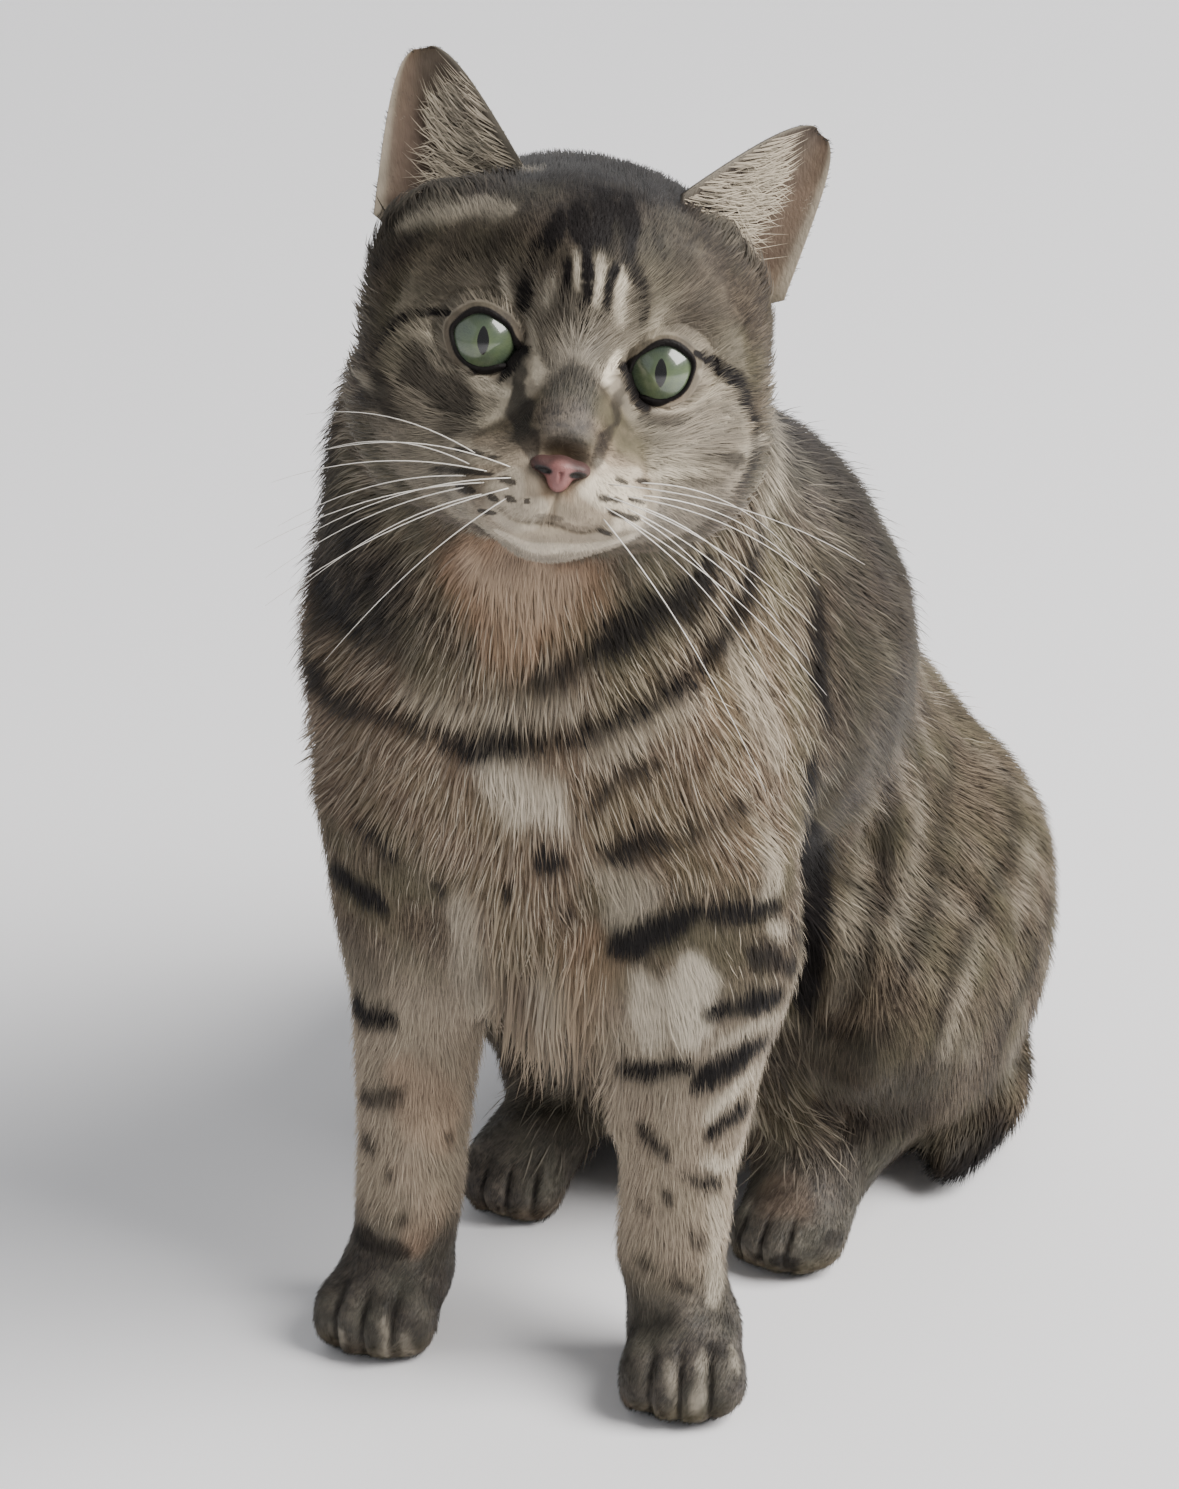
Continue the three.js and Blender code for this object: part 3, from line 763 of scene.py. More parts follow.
# Each stroke: half width in mm, strength from 0 to 1, and the places along it as pixels of the picture.
DARK_STROKES = [
    # Forehead streaks
    (1.9, 1.00, [(533, 262), (525, 284), (522, 308)]),
    (1.3, 1.00, [(568, 257), (566, 284), (563, 309)]),
    (1.3, 1.00, [(587, 240), (588, 284), (584, 332)]),
    (1.3, 1.00, [(618, 262), (609, 288), (606, 315)]),
    (1.7, 0.95, [(618, 216), (630, 262), (643, 290), (643, 324)]),
    (2.3, 1.00, [(560, 214), (550, 250)]),
    (3.2, 1.00, [(578, 205), (585, 246)]),
    (3.4, 1.00, [(603, 195), (601, 246)]),
    (2.5, 1.00, [(628, 196), (632, 250)]),
    (1.2, 0.85, [(654, 232), (668, 270), (664, 300)]),
    (1.3, 1.00, [(545, 236), (528, 258)]),
    # From the outer corner of each eye
    (1.3, 1.00, [(449, 313), (424, 312), (403, 318), (388, 332), (374, 353)]),
    (1.6, 1.00, [(696, 353), (719, 366), (740, 380), (747, 402), (757, 424)]),
    # Inner corners and beside the nose
    (2.4, 0.85, [(520, 346), (519, 366), (518, 386)]),
    (2.8, 0.85, [(518, 386), (520, 410), (526, 436), (534, 458)]),
    (1.9, 0.75, [(628, 382), (618, 402), (616, 424)]),
    (1.9, 0.70, [(612, 428), (602, 446), (596, 464)]),
    # Cheek blotches and lines
    (5.0, 0.85, [(413, 356), (424, 376), (444, 392), (466, 416)]),
    (1.5, 0.60, [(470, 436), (490, 430), (502, 422)]),
    (2.2, 0.85, [(694, 456), (718, 457), (742, 458)]),
    (2.2, 0.80, [(640, 419), (664, 424), (688, 421)]),
    (2.3, 0.85, [(757, 430), (752, 462), (740, 486)]),
    (2.7, 0.85, [(376, 372), (384, 398), (396, 418)]),
    (3.0, 0.80, [(346, 340), (352, 366)]),
    (2.2, 0.80, [(360, 396), (384, 404), (398, 412)]),
    (1.6, 0.75, [(360, 300), (352, 322), (350, 344)]),
    (1.4, 0.70, [(420, 300), (440, 292), (462, 290)]),
    (1.6, 0.60, [(700, 300), (722, 312), (742, 330)]),
    (1.3, 0.60, [(690, 322), (712, 332), (730, 346)]),
    (1.2, 0.65, [(676, 478), (700, 482), (724, 480)]),
    # Necklaces
    (2.3, 0.90, [(316, 678), (340, 700), (389, 711), (440, 730)]),
    (3.4, 1.00, [(446, 733), (479, 746), (521, 738), (564, 739)]),
    (2.5, 1.00, [(564, 739), (614, 718), (668, 692), (700, 664)]),
    (2.8, 0.95, [(700, 664), (729, 617), (744, 570), (752, 530)]),
    (3.0, 0.80, [(529, 685), (571, 666), (604, 646)]),
    (5.1, 0.95, [(596, 652), (639, 616), (678, 596), (700, 566)]),
    (3.7, 1.00, [(330, 580), (345, 604), (372, 636)]),
    # Down the outline of the neck's right side, partly painted shade
    (3.4, 0.95, [(300, 560), (303, 620), (318, 665), (340, 690)]),
    # Chest
    (2.1, 0.85, [(589, 806), (618, 774), (655, 760)]),
    (4.2, 0.95, [(608, 848), (640, 840), (664, 842)]),
    (2.1, 0.75, [(664, 842), (696, 824), (746, 792)]),
    (3.2, 1.00, [(545, 846), (560, 862)]),
    (1.5, 0.95, [(513, 880), (510, 892)]),
    (1.4, 0.95, [(566, 906), (568, 914)]),
    (1.9, 0.85, [(440, 880), (444, 892)]),
    (1.8, 0.85, [(474, 1022), (482, 1012)]),
    (1.3, 0.85, [(528, 1010), (540, 1034)]),
    # Right arm
    (2.3, 1.00, [(366, 822), (382, 838), (397, 858)]),
    (4.1, 1.00, [(336, 872), (358, 888), (384, 910)]),
    (3.9, 1.00, [(350, 1008), (372, 1014), (392, 1024)]),
    (2.5, 0.85, [(356, 1098), (380, 1100), (402, 1092)]),
    (2.3, 0.80, [(364, 1138), (374, 1150)]),
    (1.6, 0.90, [(389, 1173), (392, 1177)]),
    (1.4, 0.80, [(446, 1134), (448, 1142)]),
    (1.5, 0.80, [(398, 1219), (408, 1220)]),
    (2.5, 0.80, [(356, 1232), (372, 1244), (404, 1254)]),
    # Left arm; the first stroke, under the chest, is partly painted shadow
    (4.8, 1.00, [(616, 950), (655, 932), (693, 910)]),
    (3.0, 1.00, [(693, 910), (730, 913), (776, 908)]),
    (3.4, 1.00, [(623, 1071), (655, 1071), (687, 1066)]),
    (3.0, 0.90, [(748, 950), (775, 962), (800, 973)]),
    (3.9, 1.00, [(711, 1014), (740, 1006), (777, 998)]),
    (4.1, 1.00, [(697, 1088), (722, 1068), (762, 1042)]),
    (2.8, 1.00, [(708, 1136), (726, 1122), (747, 1104)]),
    (2.1, 1.00, [(642, 1128), (652, 1140), (668, 1156)]),
    (2.3, 1.00, [(684, 1178), (700, 1183), (716, 1186)]),
    (1.4, 0.90, [(666, 1190), (670, 1204)]),
    (1.5, 0.70, [(638, 1200), (650, 1212)]),
    (1.6, 0.80, [(636, 1258), (654, 1268)]),
    (1.5, 0.80, [(672, 1282), (690, 1290)]),
    (1.8, 0.70, [(690, 1236), (704, 1246)]),
    # Painted shade in the crease behind the arm, and streaks of the flank
    (3.6, 0.95, [(806, 570), (812, 640), (816, 723)]),
    (5.4, 1.00, [(802, 760), (800, 812), (812, 880), (818, 920)]),
    (4.0, 1.00, [(818, 920), (812, 970), (806, 1010)]),
    (2.6, 0.70, [(892, 770), (888, 830), (879, 902), (856, 1000)]),
    (2.4, 0.65, [(946, 740), (937, 850), (926, 924), (892, 1000)]),
    (2.6, 0.70, [(1000, 730), (1010, 839), (984, 902), (952, 969), (932, 1040)]),
    (2.8, 0.80, [(1046, 900), (1026, 970), (997, 1030)]),
    (6.0, 0.65, [(880, 1036), (850, 1070), (820, 1120)]),
    (4.5, 0.60, [(930, 1056), (900, 1090), (880, 1140)]),
    (3.0, 0.70, [(860, 1030), (800, 1040), (780, 1090)]),
    # Toes of the hind foot
    (2.6, 0.85, [(776, 1262), (794, 1262)]),
    (2.4, 0.70, [(826, 1240), (842, 1238)]),
]
# The rows of spots that the whiskers grow from
WHISKER_SPOTS = [
    [(454, 449), (472, 452), (482, 455)], [(488, 456), (497, 458)],
    [(433, 468), (462, 471), (492, 474)], [(500, 478), (514, 483)], [(506, 497), (514, 501)],
    [(526, 500), (528, 502)], [(616, 480), (627, 483)], [(636, 481), (648, 482)],
    [(600, 497), (609, 500)], [(613, 499), (622, 501)], [(629, 499), (645, 502)],
    [(610, 512), (627, 517), (640, 519)], [(597, 529), (611, 535)],
]
BROAD_WHISKER_SPOTS = [
    [(456, 487), (474, 491)], [(488, 496), (497, 500)], [(479, 511), (495, 513)],
]
# A painted shadow along the mouth, under the upper lip
MOUTH_SHADOW_LINE = [[(536, 516), (562, 519)]]
PALE_STROKES = [
    # Between the forehead streaks: the paler ground, partly painted highlight
    (1.5, 0.75, [(505, 267), (505, 284), (510, 303)]),
    (1.5, 0.8, [(554, 272), (547, 307)]),
    (0.8, 0.7, [(577, 252), (577, 290)]),
    (1.3, 0.85, [(602, 250), (595, 313)]),
    (1.9, 0.85, [(620, 268), (622, 327)]),
    (1.3, 0.5, [(662, 292), (652, 336)]),
    (3.0, 0.45, [(404, 224), (440, 212), (482, 208), (510, 208)]),
    (3.2, 0.6, [(786, 246), (792, 268), (788, 290)]),
    (2.0, 0.5, [(374, 196), (384, 216)]),
    # About the eyes
    (1.5, 0.6, [(530, 322), (536, 350), (538, 384)]),
    (1.6, 0.95, [(617, 352), (609, 368), (606, 386)]),
    (2.2, 0.65, [(462, 372), (484, 386), (508, 394)]),
    (2.0, 0.65, [(640, 404), (674, 408), (712, 392)]),
    (1.8, 0.45, [(430, 332), (424, 350), (438, 366)]),
    (1.6, 0.5, [(700, 372), (716, 390), (714, 412)]),
    # Cheeks
    (2.4, 0.55, [(444, 440), (470, 452), (500, 462)]),
    (1.6, 0.5, [(360, 372), (372, 388), (392, 396)]),
    (1.5, 0.7, [(668, 462), (692, 444), (716, 428), (738, 408)]),
    (1.6, 0.65, [(650, 476), (704, 468), (750, 448), (768, 420)]),
    (3.0, 0.35, [(408, 428), (430, 444), (452, 458)]),
    (2.2, 0.6, [(766, 400), (772, 450), (760, 500), (748, 560)]),
    # Muzzle and chin
    (4.2, 0.7, [(512, 476), (500, 504), (520, 516), (540, 508)]),
    (4.2, 0.85, [(584, 492), (610, 492), (640, 506), (620, 524)]),
    (2.2, 0.6, [(598, 462), (612, 478), (640, 472)]),
    (2.0, 0.75, [(498, 532), (530, 548), (570, 548), (606, 544), (640, 534)]),
    (2.0, 0.4, [(440, 500), (470, 524), (498, 536)]),
    # Chest
    (12, 0.3, [(486, 580), (550, 592)]),
    (3.2, 0.35, [(404, 690), (460, 712), (520, 716), (580, 704)]),
    (7.5, 0.7, [(496, 762), (524, 790), (552, 810)]),
    (4.0, 0.35, [(590, 756), (640, 730), (690, 700)]),
    (5.0, 0.4, [(464, 900), (470, 950), (478, 1010)]),
    (5.0, 0.35, [(600, 870), (640, 890), (620, 920)]),
    (4.0, 0.35, [(722, 640), (752, 700), (770, 760)]),
    (4.0, 0.45, [(760, 840), (772, 880), (760, 900)]),
    (5.0, 0.4, [(550, 980), (560, 1040), (556, 1100)]),
    # Left arm
    (5.4, 1.0, [(690, 964), (694, 1000), (690, 1040)]),
    (5.0, 0.7, [(640, 980), (650, 1010), (650, 1048)]),
    (1.8, 0.75, [(711, 1053), (740, 1034), (776, 1016)]),
    (2.0, 0.9, [(704, 1122), (728, 1096), (757, 1066)]),
    (1.8, 1.0, [(700, 1160), (722, 1166), (736, 1150), (753, 1108)]),
    (1.8, 0.6, [(766, 924), (786, 936)]),
    (3.6, 0.6, [(712, 1200), (716, 1250), (712, 1300)]),
    # Toes: their paler tops, partly painted highlight
    (1.5, 0.4, [(704, 1350), (702, 1382), (694, 1410)]),
    (1.4, 0.4, [(732, 1346), (738, 1372)]),
    (1.4, 0.3, [(668, 1362), (676, 1400)]),
    (1.4, 0.35, [(384, 1320), (388, 1356)]),
    (1.4, 0.35, [(404, 1336), (410, 1356)]),
    (1.0, 0.4, [(340, 1330), (346, 1356)]),
    # Flank
    (2.4, 0.28, [(917, 786), (908, 879), (894, 940)]),
    (3.0, 0.25, [(979, 924), (955, 1000), (938, 1060)]),
    (3.0, 0.22, [(1030, 839), (1012, 930)]),
    (3.0, 0.2, [(862, 850), (850, 950), (836, 1010)]),
]
# Broad soft darkening, most of it painted shade: the cat's right side of the face, neck and arm, behind the
# left arm, under the body and round the paws; the first two darken the crown's own colour
SHADE_STROKES = [
    (13, 0.95, [(540, 176), (600, 170), (668, 190)]),
    (8, 0.9, [(580, 190), (596, 226), (610, 246)]),
    (13, 0.85, [(322, 500), (318, 560), (336, 610)]),
    (19, 0.62, [(845, 590), (868, 690), (850, 800)]),
    (16, 0.35, [(800, 460), (860, 530), (900, 600)]),
    (17, 0.62, [(790, 1050), (860, 1080), (910, 1110)]),
    (11, 0.45, [(345, 930), (372, 990)]),
    (9, 0.3, [(335, 730), (360, 800)]),
    (16, 0.28, [(500, 980), (540, 1040), (550, 1100)]),
    (14, 0.2, [(430, 940), (470, 1000)]),
    (6, 0.4, [(470, 492), (500, 500), (524, 500)]),
    (8, 0.22, [(700, 420), (750, 460)]),
    (8, 0.25, [(690, 290), (750, 330)]),
    (9, 0.3, [(392, 1080), (440, 1100)]),
    (12, 0.35, [(340, 1320), (400, 1330)]),
    (12, 0.3, [(650, 1370), (720, 1370)]),
]
WARM_STROKES = [
    (17, 0.8, [(480, 580), (514, 586), (550, 590)]),
    (9, 0.45, [(560, 600), (590, 600)]),
    (8, 0.75, [(404, 1076), (430, 1100), (440, 1140)]),
    (6, 0.35, [(396, 1170), (430, 1190), (420, 1240)]),
    (7, 0.3, [(586, 940), (592, 1000), (590, 1060)]),
    (5, 0.3, [(648, 1100), (646, 1180), (648, 1240)]),
    (6, 0.15, [(768, 1190), (800, 1210)]),
    (5, 0.25, [(676, 398), (650, 400)]),
]
# Strokes over the crown to the nape, by places in the head's axes.
CROWN_STROKES = [
    (2.2, 0.95, [(-10, 8), (-12, 24), (-13, 40), (-12, 56)]),
    (2.4, 0.95, [(-3, 4), (-3, 24), (-3, 42), (-3, 60)]),
    (2.4, 0.95, [(5, 4), (6, 24), (7, 42), (6, 60)]),
    (2.0, 0.9, [(13, 6), (16, 24), (18, 40), (16, 56)]),
    (1.4, 0.6, [(-19, 12), (-21, 26), (-22, 44)]),
    (1.4, 0.6, [(22, 12), (25, 26), (27, 44)]),
]


def smooth(places, pieces=6):
    """Places along a smooth curve through the given ones."""
    places = np.array(places, float)
    ends = np.vstack([2 * places[0] - places[1], places, 2 * places[-1] - places[-2]])
    t = np.arange(pieces)[:, None] / pieces
    curve = []
    for a, b, c, d in zip(ends, ends[1:], ends[2:], ends[3:]):
        bend = (2 * a - 5 * b + 4 * c - d) * t**2 + (3 * b - a - 3 * c + d) * t**3
        curve.append(b + (c - a) * t / 2 + bend / 2)
    return np.vstack(curve + [places[-1:]])


LEAP = 14  # a stroke is broken where its next point on the skin is further than this


def laid(strokes, onto=at_pixel):
    """Strokes as lines of points on the skin, broken where the skin falls away."""
    out = []
    for width, strength, places in strokes:
        points = [q for q in (onto(*at) for at in smooth(places)) if q is not None]
        run = points[:1]
        for q in points[1:]:
            if np.linalg.norm(q - run[-1]) > LEAP:
                out.append((width, strength, np.array(run)))
                run = []
            run.append(q)
        out.append((width, strength, np.array(run)))
    return [stroke for stroke in out if len(stroke[2]) > 1]


SPOT_STROKES = [(0.7, 0.9, spot) for spot in WHISKER_SPOTS]
SPOT_STROKES += [(0.9, 0.9, spot) for spot in BROAD_WHISKER_SPOTS]
SPOT_STROKES += [(0.8, 0.5, line) for line in MOUTH_SHADOW_LINE]
STROKES = {
    "dark": laid(DARK_STROKES + SPOT_STROKES) + laid(CROWN_STROKES, over_head),
    "pale": laid(PALE_STROKES),
    "warm": laid(WARM_STROKES),
    "shade": laid(SHADE_STROKES),
}
STROKE_EDGE = {"dark": 0.35, "pale": 0.6, "warm": 0.8, "shade": 0.8}  # as a share of the half width


def painted(p, strokes, ragged, edge):
    """The greatest strength of the strokes at each point, fading over `edge`; `ragged` breaks the edges."""
    total = np.zeros(len(p))
    for width, strength, line in strokes:
        reach = 2 * width + 1
        near = np.flatnonzero(np.all((p > line.min(0) - reach) & (p < line.max(0) + reach), axis=1))
        if len(near):
            d, t = near_line(p[near], line)
            d = d / (width * (1 - 0.45 * (2 * t - 1) ** 4)) + ragged[near] * 0.3
            total[near] = np.maximum(total[near], strength * step(d, 1.1 + edge, 1.1 - edge))
    return total


# The tail's middle line, from the rump to the tip
TAIL = np.array([
    (0, 186, 32), (-11, 209, 21), (-2, 227, 15), (24, 227, 14),
    (46, 206, 13), (60, 175, 12.5), (70, 143, 11), (66, 110, 9.5),
])


def on_ears(p):
    """How much each point belongs to an ear, how far across and up it, and whether it is inside the cup."""
    ear, across, up, inside = (np.zeros(len(p)) for _ in range(4))
    for side in SIGN:
        u, z, off = ear_place(p, side)
        found = step(np.abs(off), 3.6, 2.2) * step(z, -0.06, 0.08) * (np.abs(u) < 1.25) * (z < 1.1)
        more = found > ear
        ear[more], across[more], up[more] = found[more], u[more], z[more]
        inside[more] = (found * step(off, 0.25, -0.35))[more]
    return ear, across, up, inside


def deepen(shares, name, value):
    """Raises one share to a value where it is less."""
    shares[name] = np.maximum(shares[name], value)


STREAK_STEP = 19  # mm from one streak of the flank to the next
BAR_STEP = 30  # and from one bar of the legs to the next
TAIL_RINGS = 8


def mark_trunk(shares, p, near, ragged):
    """Streaks along the back, the dark line on the spine, and the dark and cool upper back, with painted
    shade on the neck's right side, under the belly and between the thighs.
    """
    x, y, z = p.T
    trunk = near["rump"] + near["chest"] * step(y, 35, 70) + 0.8 * near["thigh"]
    across = 0.86 * y + 0.5 * z + 7 * waves(p * [1, 0.5, 0.5], 40, 5) + 2.5 * waves(p, 14, 8)
    broken = 0.72 + 0.45 * waves(p, 26, 9)
    streak = np.sin(across * 2 * np.pi / STREAK_STEP)
    hidden = step(x, 30, -10)
    strength = trunk * mix(0.56, 0.66, hidden) * np.clip(broken + 0.15, 0, 1)
    deepen(shares, "dark", strength * step(streak, 0.1, 1.0))
    deepen(shares, "pale", trunk * step(streak, -0.5, -1.0) * 0.2 * np.clip(broken, 0, 1))
    spine = step(np.abs(x + 3 + 2 * waves(p, 30, 6)), 13, 5) * step(0.66 * y + z, 180, 215) * step(y, 20, 60)
    deepen(shares, "dark", 0.62 * spine * trunk)
    high = step(z + 0.4 * y, 195, 275) * step(y, 5, 55) * (1 - near["head"])
    deepen(shares, "cool", 0.55 * high)
    deepen(shares, "dark", 0.68 * high)
    behind_arm = (near["chest"] + near["rump"]) * step(y, 45, 70) * step(y, 130, 95) * step(z, 110, 150)
    deepen(shares, "dark", 0.72 * behind_arm)
    deepen(shares, "dark", trunk * mix(0.2, 0.42, step(z, 120, 200)))
    # Painted shade on the neck's right side, away from the key light
    deepen(shares, "dark", (0.8 + 0.2 * ragged) * near["neck"] * step(x, -10, -34))
    # Painted shade under the belly and between the thighs
    under = near["chest"] * step(y, 30, 60) * step(z, 90, 60) + near["thigh"] * step(np.abs(x), 30, 16)
    deepen(shares, "dark", 0.45 * np.clip(under, 0, 1))


def mark_limbs(shares, p, near, ragged):
    """Bars round the forelegs' outer and rear sides, dark feet that are darkest along the floor, painted
    shade on the right shoulder and in the clefts between the toes, and rings round the tail.
    """
    x, y, z = p.T
    legs = near["foreleg"]
    # Painted shade on the cat's right shoulder, turned away from the key light
    shaded_right_shoulder = step(x, -20, -45) * step(z, 120, 150) * (near["chest"] + near["neck"] + legs)
    deepen(shares, "dark", np.clip(0.34 * shaded_right_shoulder, 0, 1) + 0.1 * legs)
    bars = step(np.sin(z * 2 * np.pi / BAR_STEP + 0.06 * y + 1.0) + 0.5 * ragged, 0.45, 1.0)
    deepen(shares, "dark", legs * bars * 0.75 * step(y, 4, 16))
    deepen(shares, "pale", legs * 0.35 * step(z, 120, 90))
    deepen(shares, "warm", legs * 0.25 * step(z, 130, 60) + 0.15 * near["chest"] * step(y, 30, 0))
    _, along = near_line(p, TAIL)
    rings = step(np.sin(along * 2 * np.pi * TAIL_RINGS + ragged * 0.4), 0.0, 0.8)
    deepen(shares, "dark", near["tail"] * np.maximum(0.75 * rings, step(along, 0.84, 0.92)))
    feet = near["forepaw"] + near["hind_foot"]
    foot = 0.6 * near["hind_foot"] + (legs + near["forepaw"]) * step(z, 48, 14)
    deepen(shares, "dark", foot * (0.44 + 0.2 * ragged * (z > 4)))
    deepen(shares, "cool", 0.35 * feet * step(z, 4, 10))
    # Painted shade in the clefts between the toes
    deepen(shares, "dark", 0.75 * step(toe_grooves(p), 0.4, 0.95))
    # darkest along the floor
    deepen(shares, "dark", 0.9 * feet * step(z, 3.0, 1.5))


def mark_head(shares, p, near, ragged):
    """The dark crown, the dusky face and cooler bridge, the pale muzzle, the rims of eyes and lips, and
    painted shade on the face's right side and the right of the muzzle.
    """
    h, _, muzzle, _ = face_parts(p)
    head = near["head"]
    x, y, z = h.T
    away = np.abs(x)
    crown = head * step(z + 0.3 * y - 0.25 * away, 22, 34) * step(away, 32, 20)
    deepen(shares, "dark", crown * (0.93 + 0.1 * ragged))
    bridge = step(away, 8, 3) * step(z, -22, -16) * step(z, 14, 2)
    between = step(away, 12, 6) * step(z, -9, -2) * step(z, 17, 9)
    # The face's darker ground, higher up and between the eyes, with painted shade on the head's right side
    dusk = 0.36 + 0.22 * step(z, -2, 16) + 0.05 * step(x, 10, -25) - 0.12 * bridge + 0.2 * between
    deepen(shares, "dark", head * (1 - 0.8 * muzzle) * (dusk + 0.12 * ragged) * (1 - 0.9 * shares["pale"]))
    deepen(shares, "pale", muzzle * head * 0.40 * step(away, 1, 5) * step(z, -18, -24))
    # Painted shade on the right side of the muzzle, above the mouth
    deepen(shares, "dark", 0.42 * muzzle * head * step(x, 2, -8) * step(z, -36, -33))
    deepen(shares, "warm", 0.3 * muzzle * head * step(z, -18, -24))
    deepen(shares, "cool", head * np.maximum(0.3 * step(z, 18, 32), 0.35 * bridge))
    for side, eye in EYES.items():
        q = h - eye
        edge = eye_edge(q, side)
        ahead = q[:, 1] < 0
        close = (np.linalg.norm(q, axis=1) < EYE_RADIUS + 4) * ahead
        rim = 0.25 + 0.8 * step(-q[:, 0] * SIGN[side] - q[:, 2], 4, 9) + 0.35 * step(q[:, 2], 2, 6)
        deepen(shares, "dark", close * step(edge, rim + 0.3, rim - 0.1))
        shares["pale"] = np.where(close & (edge < rim), 0, shares["pale"])
        deepen(shares, "pale", 0.4 * head * step(edge, 5, 2.5) * step(edge, 1.0, 1.6) * ahead)
    lips = bell(z - mouth_line(away), 0.9) * step(away, 14, 8) * step(y, -8, -14)
    deepen(shares, "dark", 0.4 * lips * head)


def mark_ears(shares, p):
    """Dark backs with a paler spot low down, and bare warm insides with pale rims, darker low in the cup,
    with painted shade on the half of each cup towards the cat's right.
    """
    ear, u, up, inside = on_ears(p)
    back = ear * (1 - inside)
    dark = mix(shares["dark"], 0.72 - 0.3 * step(np.abs(up - 0.35), 0.3, 0.1), back)
    # Painted shade on the half of each ear's cup towards the cat's right, away from the key light
    shaded_half = step(in_head(p)[:, 0] * np.sign(u), 5, -5)
    shares["dark"] = mix(dark, 0.5 - 0.1 * step(up, 0.1, 0.6) + 0.14 * shaded_half, inside)
    shares["pale"] = mix(shares["pale"], 0.05 + 0.6 * step(np.abs(u), 0.8, 0.97), inside)
    shares["warm"] = mix(shares["warm"], 0.25 * step(u, 0.0, 0.8), inside)
    shares["pink"] = inside * step(np.abs(u), 0.95, 0.7) * 0.35


def marks(p, near):
    """Shares of dark, pale, warm, pink and cool in the coat at each point; the dark share holds painted shade
    too.
    """
    ragged = waves(p, 5, 3)
    shares = {kind: painted(p, STROKES[kind], ragged, STROKE_EDGE[kind]) for kind in STROKES}
    # the broad painted shade goes into the dark share
    deepen(shares, "dark", shares.pop("shade"))
    shares["cool"] = np.zeros(len(p))
    mark_trunk(shares, p, near, ragged)
    mark_limbs(shares, p, near, ragged)
    mark_head(shares, p, near, ragged)
    mark_ears(shares, p)
    shares["cool"] = np.clip(shares["cool"], 0, 1)
    return shares


# ---- Materials ----
def ink(r, g, b):
    """A colour from screen values."""
    return tuple((v / 255) ** 2.2 for v in (r, g, b)) + (1,)


def new_material(name, roughness, **sockets):
    """A material with constant values set on its shader's own sockets."""
    material = bpy.data.materials.new(name)
    material.use_nodes = True
    shader = material.node_tree.nodes["Principled BSDF"]
    shader.inputs["Roughness"].default_value = roughness
    for socket, value in sockets.items():
        shader.inputs[socket.replace("_", " ")].default_value = value
    return material, material.node_tree, shader


def add(tree, kind, *values, **settings):
    """A shader node, its inputs filled in order with numbers, colours or other nodes' outputs."""
    node = tree.nodes.new("ShaderNode" + kind)
    for key, value in settings.items():
        setattr(node, key, value)
    for socket, value in zip(node.inputs, values):
        if isinstance(value, bpy.types.NodeSocket):
            tree.links.new(value, socket)
        elif value is not None:
            socket.default_value = value
    return node.outputs


def math(tree, operation, a, b=0.0):
    """One sum on two numbers."""
    return add(tree, "Math", a, b, operation=operation)[0]


def scaled(tree, value, by, plus, clamp=True):
    """A number multiplied and added to, kept between 0 and 1 unless `clamp` is off."""
    return add(tree, "Math", value, by, plus, operation="MULTIPLY_ADD", use_clamp=clamp)[0]


def blend(tree, share, a, b, how="MIX"):
    """Two colours mixed: `a` where the share is 0."""
    return add(tree, "MixRGB", share, a, b, blend_type=how)[0]


def noise(tree, scale, detail=2.0, stretch=None):
    """Noise that stays put on the object."""
    where = add(tree, "TexCoord")["Object"]
    if stretch:
        where = add(tree, "Mapping", where, None, None, stretch)[0]
    return add(tree, "TexNoise", where, None, scale, detail)[0]


PALETTE = dict(
    ground=ink(130, 116, 98),
    ground_dark=ink(76, 65, 53),
    olive=ink(108, 103, 80),
    cool=ink(96, 100, 106),
    warm=ink(186, 146, 114),
    pale=ink(236, 223, 200),
    pink=ink(146, 118, 100),
    dark=ink(25, 20, 19),
)


